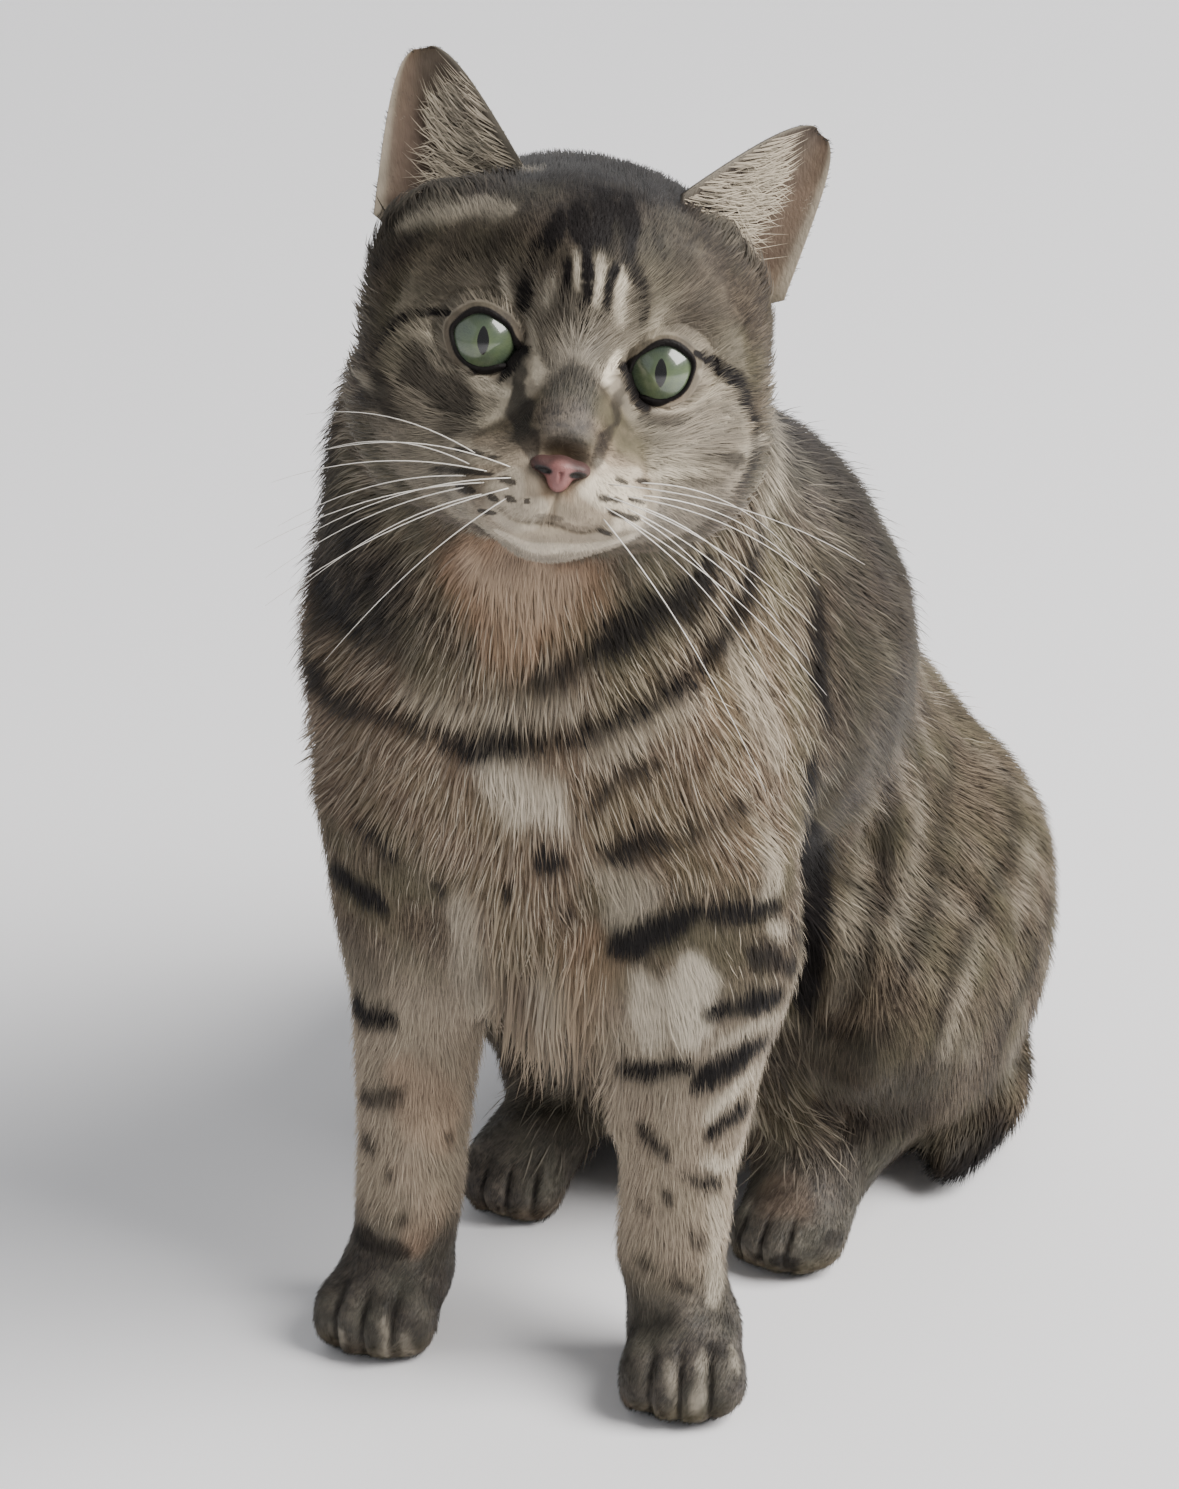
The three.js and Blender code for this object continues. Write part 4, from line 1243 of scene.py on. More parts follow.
def coat_material(name, bump):
    """Ticked brown fur, toned by the shares stored on the points, with painted shade towards each lock's
    root; `bump` is how strongly it is ridged.
    """
    material, tree, shader = new_material(
        name, 0.62, Sheen_Weight=0.05, Sheen_Roughness=0.5, Specular_IOR_Level=0.2
    )
    shares = add(tree, "Attribute", attribute_name="marks")
    dark, pale, warm = list(add(tree, "SeparateColor", shares["Color"]))
    strand = add(tree, "Attribute", attribute_name="strand")["Vector"]
    along, chance, cool = list(add(tree, "SeparateXYZ", strand))
    fleck = noise(tree, 700, 3)
    patch = noise(tree, 60, 2)
    flecks = math(tree, "ADD", math(tree, "MULTIPLY", fleck, 0.7), math(tree, "MULTIPLY", chance, 0.6))
    ticked = scaled(tree, math(tree, "SUBTRACT", flecks, 0.62), 2.2, 0.45)
    green = scaled(tree, math(tree, "SUBTRACT", patch, 0.5), 4.0, 0.4)
    colour = blend(tree, ticked, PALETTE["ground_dark"], PALETTE["ground"])
    layers = dict(olive=math(tree, "MULTIPLY", green, 0.6), cool=cool, warm=warm, pale=pale)
    layers.update(pink=shares["Alpha"], dark=dark)
    for tone, share in layers.items():
        colour = blend(tree, share, colour, PALETTE[tone])
    # Painted shade: each lock darker towards its root; `chance` gives each lock its own tone
    light = scaled(tree, along, 0.26, 0.78, clamp=False)
    light = math(tree, "MULTIPLY", light, scaled(tree, chance, 0.36, 0.82, clamp=False))
    grey = add(tree, "CombineColor", light, light, light)[0]
    tree.links.new(blend(tree, 1.0, colour, grey, "MULTIPLY"), shader.inputs["Base Color"])
    if bump:
        height = noise(tree, 1500, 2, (1, 1, 0.22))
        bumped = add(tree, "Bump", bump, 0.0004, None, height)
        tree.links.new(bumped[0], shader.inputs["Normal"])
    return material


COAT = coat_material("coat", 0.0)
SKIN = coat_material("skin", 0.5)


# ---- Meshes from arrays ----
def set_vectors(mesh, name, values):
    """Stores three numbers on each of a mesh's points."""
    layer = mesh.attributes.new(name, "FLOAT_VECTOR", "POINT")
    layer.data.foreach_set("vector", values.astype(np.float32).ravel())


def set_marks(mesh, shares, along, chance):
    """Stores the coat's shares and each strand's own numbers on a mesh's points."""
    data = np.stack([shares[k] for k in ("dark", "pale", "warm", "pink")], 1).astype(np.float32)
    mesh.attributes.new("marks", "FLOAT_COLOR", "POINT").data.foreach_set("color", data.ravel())
    set_vectors(mesh, "strand", np.stack([along, chance, shares["cool"]], 1))


def from_arrays(name, points, triangles, uv, normals):
    """An object of triangles, from arrays in the cat's axes, with its unwrap and its own normals."""
    mesh = bpy.data.meshes.new(name)
    mesh.vertices.add(len(points))
    mesh.vertices.foreach_set("co", place(points).astype(np.float32).ravel())
    mesh.loops.add(triangles.size)
    mesh.loops.foreach_set("vertex_index", triangles.astype(np.int32).ravel())
    mesh.polygons.add(len(triangles))
    mesh.polygons.foreach_set("loop_start", np.arange(0, triangles.size, 3, dtype=np.int32))
    mesh.update(calc_edges=True)
    mesh.uv_layers.new(name="OFBake")
    mesh.uv_layers[0].data.foreach_set("uv", uv[triangles.ravel()].astype(np.float32).ravel())
    mesh.shade_smooth()
    mesh.normals_split_custom_set_from_vertices(normals.astype(np.float32))
    obj = bpy.data.objects.new(name, mesh)
    bpy.context.scene.collection.objects.link(obj)
    return obj


class SkinMesh:
    """The finished skin's points, normals, triangles and unwrap, as arrays."""

    def __init__(self, obj):
        mesh = obj.data
        self.points = mesh_points(mesh)
        self.normals = mesh_normals(mesh)
        corners = np.empty(len(mesh.loops), np.int32)
        mesh.loops.foreach_get("vertex_index", corners)
        self.triangles = corners.reshape(-1, 3)
        self.uv = loop_uvs(mesh).reshape(-1, 3, 2)

    def scatter(self, density):
        """Roots, normals and unwrap places, at each skin point's `density` to the square millimetre."""
        a, b, c = (self.points[self.triangles[:, i]] for i in range(3))
        area = np.linalg.norm(np.cross(b - a, c - a), axis=1) / 2
        total = np.cumsum(area * density[self.triangles].mean(1))
        count = int(total[-1])
        face = np.searchsorted(total, np.arange(count) + rng.uniform(0, 1, count))
        face = np.minimum(face, len(area) - 1)
        r, t = np.sqrt(rng.uniform(size=count)), rng.uniform(size=count)
        weights = np.stack([1 - r, r * (1 - t), r * t], 1)

        def at_roots(values):
            return (weights[..., None] * values).sum(1)

        roots = at_roots(self.points[self.triangles[face]])
        normals = unit(at_roots(self.normals[self.triangles[face]]))
        return roots, normals, at_roots(self.uv[face])


whole = SkinMesh(skin)
near_skin = region_shares(whole.points)
# The skin takes a lock's painted root shade, as at a third of the way along one
skin_along, skin_chance = np.full(len(whole.points), 0.35), 0.5 + 0.25 * waves(whole.points, 2.5, 21)
set_marks(skin.data, marks(whole.points, near_skin), skin_along, skin_chance)
skin.data.materials.clear()
skin.data.materials.append(SKIN)


# ---- The lie of the coat ----
def ear_front(p):
    """1 on the tufts before each ear's foot."""
    h = in_head(p)
    total = np.zeros(len(p))
    for side in SIGN:
        q = h - EAR_POSE[side]["base"]
        total = np.maximum(total, step(np.linalg.norm((q - [0, -7, 1]) / [16, 9, 6], axis=1), 1.3, 0.7))
        total = np.maximum(total, step(np.linalg.norm(q - [SIGN[side] * 14, -4, -7], axis=1), 9, 5))
    return total


def lie(p, near):
    """The way the hair points, before it is laid onto the skin."""
    h = in_head(p)
    head = unit(h - [0, -27, -22]) @ HEAD.T
    x, y, _ = p.T
    o = np.zeros(len(p))
    chest = unit(np.stack([(x + 2) / 55, o - 0.1, o - 1], 1))
    back = step(y, 15, 60)
    trunk = unit(np.stack([(x + 2) / 160, 0.15 + 0.5 * back, o - 0.85], 1))
    chest = unit(mix(chest, trunk, back[:, None]))
    leg = unit(np.stack([0.1 * np.sign(x), o + 0.05, o - 1], 1))
    paw = unit(np.stack([o, o - 0.9, o - 0.35], 1))
    thigh = unit(np.stack([o, o + 0.12, o - 1], 1))
    starts, ends = TAIL[:-1], TAIL[1:]
    nearest = np.argmin(np.linalg.norm(p[:, None] - (starts + ends)[None] / 2, axis=2), axis=1)
    tail = unit(ends - starts)[nearest]
    table = dict(head=head, neck=chest, chest=chest, rump=trunk, thigh=thigh, tail=tail)
    table.update(foreleg=leg, forepaw=paw, hind_foot=paw)
    flow = sum(near[name][:, None] * table[name] for name in REGIONS)
    for side, sign in SIGN.items():
        before = ear_front(p) * (h[:, 0] * sign > 0)
        flow = mix(flow, HEAD @ unit(np.array([sign * 0.5, -0.1, 0.9])), before[:, None])
    ear, u, _, inside = on_ears(p)
    for side in SIGN:
        mine = (ear > 0.3) & (h[:, 0] * SIGN[side] > 0)
        up = HEAD @ ear_turn(side) @ [0, 0, 1.0]
        out = HEAD @ ear_turn(side) @ [SIGN[side], 0, 0]
        flow[mine] = up + out * (0.5 * u[mine] * (1 - inside[mine]) + 0.8 * inside[mine])[:, None]
    return unit(flow)


def stood(q, height):
    """Moves points along the field's slope until they stand `height` off the skin."""
    return q + np.clip(height - sample(field, q), -6, 6)[:, None] * unit(slope_at(q, 1.2))


def comb(root, normal, near, length, lift, stand, clump, follow=True, hang=0.0):
    """Lays locks down from their roots along the coat's lie: their directions, middles and tips.

    `lift` is how far a straight lock leaves the skin, `stand` how high its tip ends over a curved one,
    `clump` how far tips draw together, and `hang` how freely they drop.
    """
    n = len(root)
    flow = lie(root, near)
    sway = waves(root, 16, 31)[:, None] * 0.13 + rng.normal(0, 0.11, (n, 1))
    flow = flow - normal * (flow * normal).sum(1, keepdims=True)
    flow = unit(unit(flow) + sway * np.cross(normal, unit(flow)))
    middle = root + flow * (0.5 * length)[:, None] + normal * (lift * 0.6)[:, None]
    tip = root + flow * length[:, None] + normal * lift[:, None]
    gather = np.stack([waves(root, 9, 41), waves(root, 9, 42), waves(root, 9, 43)], 1) * clump[:, None]
    gather = gather + rng.normal(0, 0.12, (n, 3)) * clump[:, None]
    if follow:
        middle = stood(middle, stand * 0.62)
        tip = stood(tip + gather * 0.5, stand) + gather * 0.5
        middle = middle + gather * 0.25
    else:
        tip = tip + gather
    hang = np.broadcast_to(hang, n)[:, None]
    down = np.array([0, -0.12, -0.99])
    middle = mix(middle, root + normal * 3 + down * (0.45 * length)[:, None], hang)
    tip = mix(tip, root + normal * 3.5 + down * length[:, None] + gather, hang)
    for q in (middle, tip):
        q[:, 2] = np.maximum(q[:, 2], 0.5)
    return flow, middle, tip


PATCH = 0.003  # each lock's size in the unwrap


def locks(root, normal, uv, flow, middle, tip, width, bent, near=None, shares=None, pale=0.0):
    """Closed three-sided locks as arrays ready for a mesh; `bent` ones have a ring at their middles.

    They take the marks of the skin under them, made paler by `pale`, unless `shares` are given.
    """
    n = len(root)
    side = unit(np.cross(normal, flow))
    chance = rng.uniform(0, 1, n)
    ring = [(-0.5, 0.0), (0.5, 0.0), (0.0, 0.4)]
    w = width[:, None]
    base = root - normal * 0.4
    levels = [(base, 1.0, 0.0, mix(root, tip, 0.3))]
    if bent:
        levels.append((middle, 0.85, 0.55, middle))
    corners, along, seen = [], [], []
    for at, size, t, look in levels:
        corners += [at + (side * a + normal * b) * w * size for a, b in ring]
        along += [t] * 3
        seen += [look] * 3
    corners.append(tip)
    along.append(1.0)
    seen.append(mix(middle, tip, 0.7))
    per = len(corners)
    faces = [(0, 2, 1)]
    for level in range(len(levels) - 1):
        for i in range(3):
            a, b = level * 3 + i, level * 3 + (i + 1) % 3
            faces += [(a, b, b + 3), (a, b + 3, a + 3)]
    faces += [(per - 4 + i, per - 4 + (i + 1) % 3, per - 1) for i in range(3)]
    if shares is None:
        *rings, last = [marks(stood(look, 0.0), near) for look in seen[2::3] + [seen[-1]]]
        shares = {k: np.stack([m[k] for m in rings for _ in range(3)] + [last[k]], 1) for k in last}
        shares["pale"] = np.maximum(shares["pale"], pale * (1 - shares["dark"]))
    else:
        shares = {k: np.full((n, per), v) for k, v in shares.items()}
    local = np.stack([np.array([-1, 1, 0] * len(levels) + [0]) * PATCH / 2, np.array(along) * PATCH], 1)
    outward = np.stack([side * a + normal * (b - 0.13) * 2 for a, b in ring * len(levels)] + [flow * 0.2], 1)
    bow = normal[:, None] + outward * 0.55 + np.array(along)[None, :, None] * flow[:, None] * 0.25
    return dict(
        points=np.stack(corners, 1),
        faces=np.array(faces),
        normals=unit(bow),
        uv=uv[:, None] + local[None],
        along=np.tile(along, (n, 1)),
        chance=np.repeat(chance[:, None], per, 1),
        shares=shares,
    )


PIECE_LIMIT = 190000  # triangles


def plant(name, made):
    """Makes coat pieces from locks, each under the limit of triangles."""
    n, per = made["points"].shape[:2]
    batch = PIECE_LIMIT // len(made["faces"])
    for k, start in enumerate(range(0, n, batch)):
        part = slice(start, min(start + batch, n))
        m = part.stop - part.start
        triangles = (made["faces"][None] + np.arange(m)[:, None, None] * per).reshape(-1, 3)
        obj = from_arrays(
            f"coat_{name}_{k + 1}",
            made["points"][part].reshape(-1, 3),
            triangles,
            made["uv"][part].reshape(-1, 2),
            made["normals"][part].reshape(-1, 3),
        )
        shares = {key: v[part].ravel() for key, v in made["shares"].items()}
        set_marks(obj.data, shares, made["along"][part].ravel(), made["chance"][part].ravel())
        obj.data.materials.append(COAT)
        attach(obj, "root")


def open_eye(p):
    """1 away from the lids' bare edges, 0 on them and inside the eyes' openings."""
    h = in_head(p)
    keep = np.ones(len(p))
    for side, eye in EYES.items():
        q = h - eye
        close = (np.linalg.norm(q, axis=1) < EYE_RADIUS + 5) & (q[:, 1] < 0)
        keep = np.where(close & (eye_edge(q, side) < 1.0), 0, keep)
    x = np.abs(h[:, 0])
    nose = (x < 7) & (h[:, 1] < -22) & (h[:, 2] > -30.5) & (h[:, 2] < -21.8)
    lips = (np.abs(h[:, 2] - mouth_line(x)) < 0.8) & (x < 14) & (h[:, 1] < -12)
    return np.where(nose | lips, 0, keep)


def short_coat(hairy, face):
    """The close coat, all over but for the ears."""
    root, normal, uv = whole.scatter(hairy * mix(blend_regions(DENSITY, near_skin), 2.6, face))
    near = region_shares(root)
    n = len(root)
    _, front, muzzle, cheeks = face_parts(root)
    length = blend_regions(LENGTH, near)
    length = mix(length, mix(4.2, 2.6, muzzle), near["head"] * front)
    sleek = (near["chest"] + near["rump"] + near["neck"]) * step(root[:, 1], 30, 60)
    length = mix(length, 8.0, near["head"] * cheeks * (1 - front)) * rng.uniform(0.7, 1.3, n)
    length = length * (1 - 0.22 * sleek)
    stand = coat_depth(root, near) * rng.uniform(0.4, 0.95, n) * (1 - 0.3 * sleek)
    laid_down = comb(root, normal, near, length, stand * 0.8, stand, length * 0.1)
    plant("short", locks(root, normal, uv, *laid_down, 0.18 + 0.04 * length, False, near))


def long_locks(hairy, fringe):
    """Longer locks on the chest, the neck, the cheeks' edge, before the ears and under the belly."""
    near = near_skin
    x, y, z = whole.points.T
    chest = (near["chest"] * step(y, 40, 10) + near["neck"] * step(y, 45, 15)) * step(np.abs(x + 2), 62, 36)
    belly = (near["chest"] + near["rump"]) * step(z, 110, 80)
    brisket = near["chest"] * step(z, 150, 110) * step(y, 45, 20) * step(np.abs(x), 34, 18)
    wisps = near["head"] * ear_front(whole.points)
    places = np.maximum.reduce([0.16 * chest, 0.3 * fringe, 0.12 * belly, 0.3 * brisket, 0.5 * wisps])
    root, normal, uv = whole.scatter(hairy * places)
    near = region_shares(root)
    n = len(root)
    x, y, z = root.T
    hang = near["chest"] * step(z, 150, 105) * step(y, 45, 20) * step(np.abs(x), 30, 16)
    length = mix(mix(10.5, 12.5, step(z, 190, 120)), 8.5, near["head"])
    length = mix(length, 21, hang) * rng.uniform(0.75, 1.25, n)
    depth = coat_depth(root, near)
    stand = depth * rng.uniform(0.9, 1.25, n) + 1.0 * step(z, 150, 110)
    laid_down = comb(root, normal, near, length, depth, stand, 0.14 * length, hang=0.8 * hang)
    width = rng.uniform(0.35, 0.62, n)
    plant("locks", locks(root, normal, uv, *laid_down, width, True, near, pale=0.16))


def guard_hairs(hairy, fringe):
    """Fine pale hairs over the coat."""
    near = near_skin
    sleek = step(whole.points[:, 1], 30, 60)
    share = 0.08 * (near["chest"] + near["neck"]) * (1 - 0.8 * sleek) + 0.015 * near["rump"] + 0.06 * fringe
    root, normal, uv = whole.scatter(hairy * (share + 0.04 * near["foreleg"]))
    near = region_shares(root)
    n = len(root)
    length = 1.1 * blend_regions(LENGTH, near) * rng.uniform(0.7, 1.2, n)
    stand = coat_depth(root, near) * rng.uniform(1.0, 1.3, n)
    laid_down = comb(root, normal, near, length, stand, stand, 0.1 * length)
    plant("guard", locks(root, normal, uv, *laid_down, np.full(n, 0.26), True, near, pale=0.5))


def ear_pile(on_ear, inside):
    """A close pile outside the ears and along their rims."""
    root, normal, uv = whole.scatter(on_ear * mix(2.6, 1.2, inside))
    near = region_shares(root)
    _, u, up, _ = on_ears(root)
    edge = np.maximum(step(np.abs(u), 0.7, 0.95), step(up, 0.8, 0.95))
    length = rng.uniform(1.8, 3.0, len(root)) * mix(1, 0.55, edge)
    laid_down = comb(root, normal, near, length, 0.05 * length, 1.0, 0.03 * length, follow=False)
    plant("ears", locks(root, normal, uv, *laid_down, 0.15 * length, False, near))


HAIRS_IN_EAR = 560
EAR_HAIR_SHARES = dict(dark=0.12, pale=0.5, warm=0.1, pink=0.0, cool=0.1)


def ear_hairs(side):
    """Long pale hairs from the ear's inner edge across its cup."""
    n = HAIRS_IN_EAR
    u = rng.uniform(-0.97, 0.05, n)
    h = mix(0.27, 0.80, rng.uniform(0, 1, n)) * (1 - 0.12 * (u + 1))
    reach = rng.uniform(0.35, 0.8, n) * (1.15 - h)
    root = ear_points(side, u, h, -1)
    forward = HEAD @ ear_turn(side) @ np.array([0, -1.0, 0.1])
    off = rng.uniform(0.8, 2.6, n)[:, None]
    middle = ear_points(side, u + reach * 0.6, h + 0.06, -1) + forward * off
    over = np.minimum(u + reach * 1.2, 0.93)
    tip = ear_points(side, over, h + rng.uniform(0.02, 0.2, n), -1) + forward * off * 0.8
    normal = np.tile(forward, (n, 1))
    uv = np.stack([(u + 1) / 2 * EAR_SHEET["wide"], h * EAR_SHEET["high"]], 1) + ear_corner(side)
    width = rng.uniform(0.2, 0.34, n)
    return locks(root, normal, uv, unit(tip - root), middle, tip, width, True, shares=EAR_HAIR_SHARES)


def grow():
    """The whole coat, piece by piece."""
    p = whole.points
    _, front, muzzle, cheeks = face_parts(p)
    ear, _, _, inside = on_ears(p)
    on_ear = ear > 0.4
    hairy = open_eye(p) * ~on_ear * (p[:, 2] > 1.2)
    face = near_skin["head"] * step(np.maximum(front * (1 - 0.85 * cheeks), muzzle), 0.2, 0.5)
    fringe = near_skin["head"] * cheeks * step(in_head(p)[:, 1], 0, 8) * 0.8
    short_coat(hairy, face)
    long_locks(hairy, fringe)
    guard_hairs(hairy, fringe)
    ear_pile(on_ear, inside)
    right, left = (ear_hairs(side) for side in SIGN)
    both = {k: np.concatenate([right[k], left[k]]) for k in ("points", "normals", "uv", "along", "chance")}
    both["shares"] = {k: np.concatenate([right["shares"][k], left["shares"][k]]) for k in EAR_HAIR_SHARES}
    plant("ear_hair", both | {"faces": right["faces"]})


grow()


# ---- Eyes ----
PUPIL = {"half_width": 1.3, "half_height": 3.15}


def iris_material():
    """Green fibres, yellower round the pupil, with a dark limbus, the lid's shade above and a slit pupil."""
    material, tree, shader = new_material(
        "iris", 0.25, Coat_Weight=1.0, Coat_Roughness=0.02, Specular_IOR_Level=0.5
    )
    where = add(tree, "Attribute", attribute_name="gaze")["Vector"]
    x, _, z = list(add(tree, "SeparateXYZ", where))
    from_middle = add(tree, "VectorMath", where, operation="LENGTH")["Value"]
    angle = math(tree, "ARCTAN2", z, x)
    spoke = math(tree, "MULTIPLY", angle, 5.0)
    ring = add(tree, "CombineXYZ", spoke, math(tree, "MULTIPLY", from_middle, 0.35), 0.0)[0]
    fibres = add(tree, "TexNoise", ring, None, 4.0, 4.0)[0]
    cloud = add(tree, "TexNoise", where, None, 0.28, 2.0)[0]
    colour = blend(tree, fibres, ink(58, 69, 56), ink(102, 117, 94))
    warm = scaled(tree, cloud, 3.0, -1.1)
    colour = blend(tree, math(tree, "MULTIPLY", warm, 0.5), colour, ink(112, 126, 86))
    inner = scaled(tree, from_middle, -0.5, 1.5)
    colour = blend(tree, math(tree, "MULTIPLY", inner, 0.35), colour, ink(116, 130, 78))
    limbus = scaled(tree, from_middle, 1.1, -6.5)
    colour = blend(tree, limbus, colour, ink(16, 22, 16))
    colour = blend(tree, scaled(tree, z, 0.12, 0.1), colour, ink(34, 42, 36))
    narrow, tall = (
        math(tree, "POWER", math(tree, "ABSOLUTE", math(tree, "DIVIDE", at, half)), 1.6)
        for at, half in ((x, PUPIL["half_width"]), (z, PUPIL["half_height"]))
    )
    slit = scaled(tree, math(tree, "ADD", narrow, tall), -7.0, 7.5)
    colour = blend(tree, slit, colour, (0.002, 0.002, 0.002, 1))
    tree.links.new(colour, shader.inputs["Base Color"])
    return material


IRIS = iris_material()
CORNEA = {"radius": 8.2, "bulge": 0.9}
EYE_RINGS = (72, 96)  # rings, and points round each


def add_eye(side):
    """An eyeball looking along the gaze, with the cornea's bulge in front."""
    rings, around = EYE_RINGS
    tilt = np.concatenate([[0], np.linspace(0.02, np.pi - 0.02, rings), [np.pi]])
    ring = np.arange(around) * 2 * np.pi / around
    bulge = CORNEA["bulge"] * step(EYE_RADIUS * np.sin(tilt), CORNEA["radius"], 0)
    radius = EYE_RADIUS + bulge * (tilt < np.pi / 2)
    middle = [
        np.stack([np.sin(t) * r * np.cos(ring), -np.cos(t) * r + 0 * ring, np.sin(t) * r * np.sin(ring)], 1)
        for t, r in zip(tilt[1:-1], radius[1:-1])
    ]
    points = np.concatenate([[[0, -radius[0], 0]], *middle, [[0, radius[-1], 0]]])
    faces = [(0, 1 + (i + 1) % around, 1 + i) for i in range(around)]
    for j in range(rings - 1):
        for i in range(around):
            a, b = 1 + j * around + i, 1 + j * around + (i + 1) % around
            faces.append((a, b, b + around, a + around))
    last = 1 + (rings - 1) * around
    faces += [(last + i, last + (i + 1) % around, len(points) - 1) for i in range(around)]
    turned = from_head(EYES[side] + points @ GAZE_TURN.T)
    eye = new_object("eyeball_" + side, turned, [f[::-1] for f in faces])
    set_vectors(eye.data, "gaze", points * [1, 0, 1])
    eye.data.materials.append(IRIS)
    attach(eye, "root")
    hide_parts("eye_" + side)


for side in SIGN:
    add_eye(side)


# ---- Nose leather ----
def ball(h, middle, radii):
    """A rough signed distance to an ellipsoid."""
    q = (h - middle) / radii
    return (np.linalg.norm(q, axis=-1) - 1) * np.min(radii)


def folded(h):
    """Places brought to the head's left half."""
    return np.abs(h) * [1, 0, 0] + h * [0, 1, 1]


NOSE_GRID = {"voxel": 0.3, "low": np.array([-10, -40, -34.0]), "shape": (67, 60, 64)}


def nose_field(h):
    """The leather between the nostrils, over them and round them, less the nostrils and the groove."""
    h_half = folded(h)
    leather = ball(h, [0, -29.6, -24.0], [5.8, 4.5, 2.0])
    leather = soft_min(leather, ball(h, [0, -30.3, -26.0], [2.7, 3.9, 3.6]), 2.0)
    leather = soft_min(leather, ball(h_half, [4.0, -29.5, -24.3], [2.2, 3.4, 1.8]), 1.0)
    hollow = ball(h_half, [3.9, -33.4, -25.5], [1.6, 1.8, 0.7])
    hollow = soft_min(hollow, ball(h_half, [5.4, -32.3, -26.0], [1.3, 2.0, 0.5]), 0.6)
    leather = -soft_min(-leather, hollow, 0.4)
    groove = np.hypot(h[..., 0], (h[..., 1] + 34.6) * 0.6) - 0.4
    return -soft_min(-leather, np.maximum(groove, h[..., 2] + 25), 0.4)


def leather_material():
    """Pink leather, greyer at its edges, with painted shade making the nostrils black."""
    material, tree, shader = new_material("leather", 0.55, Coat_Weight=0.08, Coat_Roughness=0.35)
    pink, hole, _ = list(add(tree, "SeparateXYZ", add(tree, "Attribute", attribute_name="shade")["Vector"]))
    grain = noise(tree, 2600, 2)
    colour = blend(tree, pink, ink(74, 54, 51), ink(142, 96, 92))
    colour = blend(tree, math(tree, "MULTIPLY", grain, 0.35), colour, ink(96, 60, 58))
    # Painted shade: the nostrils' hollows black
    colour = blend(tree, hole, colour, ink(14, 9, 9))
    tree.links.new(colour, shader.inputs["Base Color"])
    tree.links.new(add(tree, "Bump", 0.5, 0.0003, None, grain)[0], shader.inputs["Normal"])
    return material


def add_nose():
    """The nose leather, as a mesh from its field."""
    h = lattice(NOSE_GRID["shape"]) * NOSE_GRID["voxel"] + NOSE_GRID["low"]
    points, quads = surface(nose_field(h), 0.0, NOSE_GRID["voxel"], (0, 0, 0), background=5.0)
    points = points + NOSE_GRID["low"]
    nose = new_object("nose_leather", from_head(points), quads[:, ::-1])
    face_outwards(nose)
    middle = np.linalg.norm((points - [0, -34, -26.2]) / [3.0, 6, 3.2], axis=1)
    in_hollow = np.linalg.norm((folded(points) - [4.0, -33.2, -25.3]) / [2.5, 3, 1.0], axis=1)
    # The second share marks the nostrils' hollows for painted shade
    shade = [step(middle, 1.35, 0.8), step(in_hollow, 1.15, 0.75), 0 * middle]
    set_vectors(nose.data, "shade", np.stack(shade, 1))
    nose.data.materials.append(leather_material())
    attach(nose, "root")
    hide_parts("nose")


add_nose()


# ---- Whiskers ----
WHISKER_ROWS = [(-26.0, 2, 10), (-28.5, 3, 0), (-31.0, 3, -16), (-33.5, 3, -32)]  # height, count, slope
WHISKER_LENGTH = {1: 56, -1: 48}  # by side
WHISKER_RADIUS = {"root": 0.12, "tip": 0.03}


def cloudy_material(name, roughness, scale, dark, light, **sockets):
    """A plain material that varies a little between two colours."""
    material, tree, shader = new_material(name, roughness, **sockets)
    tree.links.new(blend(tree, noise(tree, scale), dark, light), shader.inputs["Base Color"])
    return material


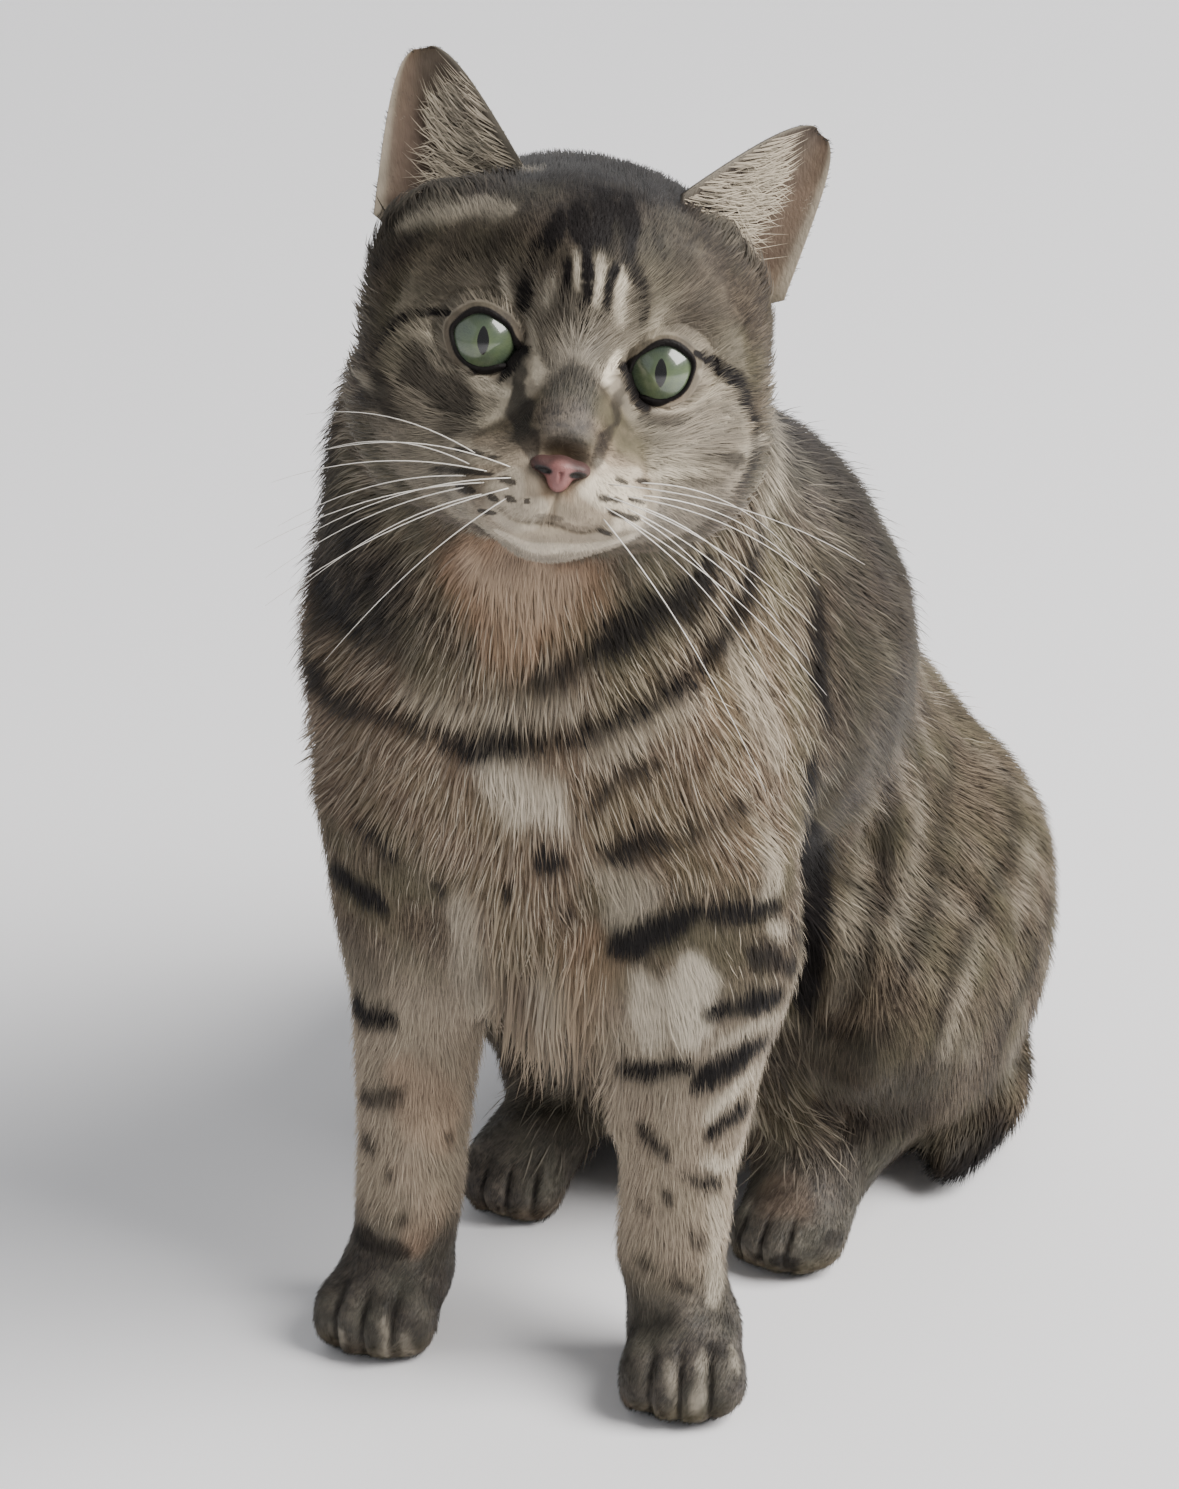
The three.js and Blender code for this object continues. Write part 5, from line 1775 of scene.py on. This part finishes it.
def tapered(points, radii, sides=6):
    """A closed tube along points, with a radius at each."""
    points = np.asarray(points, float)
    along = unit(np.gradient(points, axis=0))
    side = unit(np.cross(along, [0.31, 0.17, 0.93]))
    up = np.cross(side, along)
    angles = np.arange(sides) * 2 * np.pi / sides
    ring = np.cos(angles)[None, :, None] * side[:, None] + np.sin(angles)[None, :, None] * up[:, None]
    p = points[:, None] + ring * np.asarray(radii)[:, None, None]
    n = len(points)
    faces = []
    for i in range(n - 1):
        for j in range(sides):
            k = (j + 1) % sides
            faces.append((i * sides + j, i * sides + k, (i + 1) * sides + k, (i + 1) * sides + j))
    faces.append(tuple(range(sides))[::-1])
    faces.append(tuple((n - 1) * sides + j for j in range(sides)))
    return p.reshape(-1, 3), faces


def add_whiskers():
    """Four rows of whiskers from the spots on each side of the muzzle, as one piece."""
    points, faces = [], []
    start = 0
    for side in (-1, 1):
        for height, count, slope in WHISKER_ROWS:
            for i in range(count):
                t = i / max(count - 1, 1)
                root = np.array([side * (11 + 7.5 * t), -30 + 7 * t, height + 1.2 * t])
                inwards = HEAD @ unit(np.array([-side * 12, 30.0, 0]))
                hit = cast(from_head(root + [side * 12, -30, 0]), inwards)
                if hit is not None:
                    root = in_head(hit[None])[0]
                rise = np.radians(slope + 16 * (t - 0.4) + rng.normal(0, 4))
                sweep = (0.2 if side > 0 else 0.46) + 0.3 * t + rng.normal(0, 0.06)
                d = unit(np.array([side * np.cos(rise), -0.42 + sweep, np.sin(rise)]))
                length = mix(WHISKER_LENGTH[side], 40, t) * rng.uniform(0.85, 1.1)
                s = np.linspace(0, 1, 14)[:, None]
                line = root + d * s * length + np.array([0, 6, -13]) * s**2.2 - d * 1.2
                radii = WHISKER_RADIUS["root"] * (1 - s[:, 0]) ** 0.7 + WHISKER_RADIUS["tip"]
                tube, skin_of_tube = tapered(from_head(line), radii)
                points.append(tube)
                faces += [tuple(v + start for v in f) for f in skin_of_tube]
                start += len(tube)
    whiskers = new_object("whiskers", np.vstack(points), faces)
    shades = ink(250, 246, 238), ink(214, 206, 194)
    whiskers.data.materials.append(cloudy_material("whisker", 0.35, 90, *shades, Specular_IOR_Level=0.6))
    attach(whiskers, "root")


add_whiskers()

floor.data.materials.append(cloudy_material("floor", 0.8, 3.0, ink(250, 249, 252), ink(254, 253, 255)))

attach(skin, "root")
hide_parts(*FLESH)
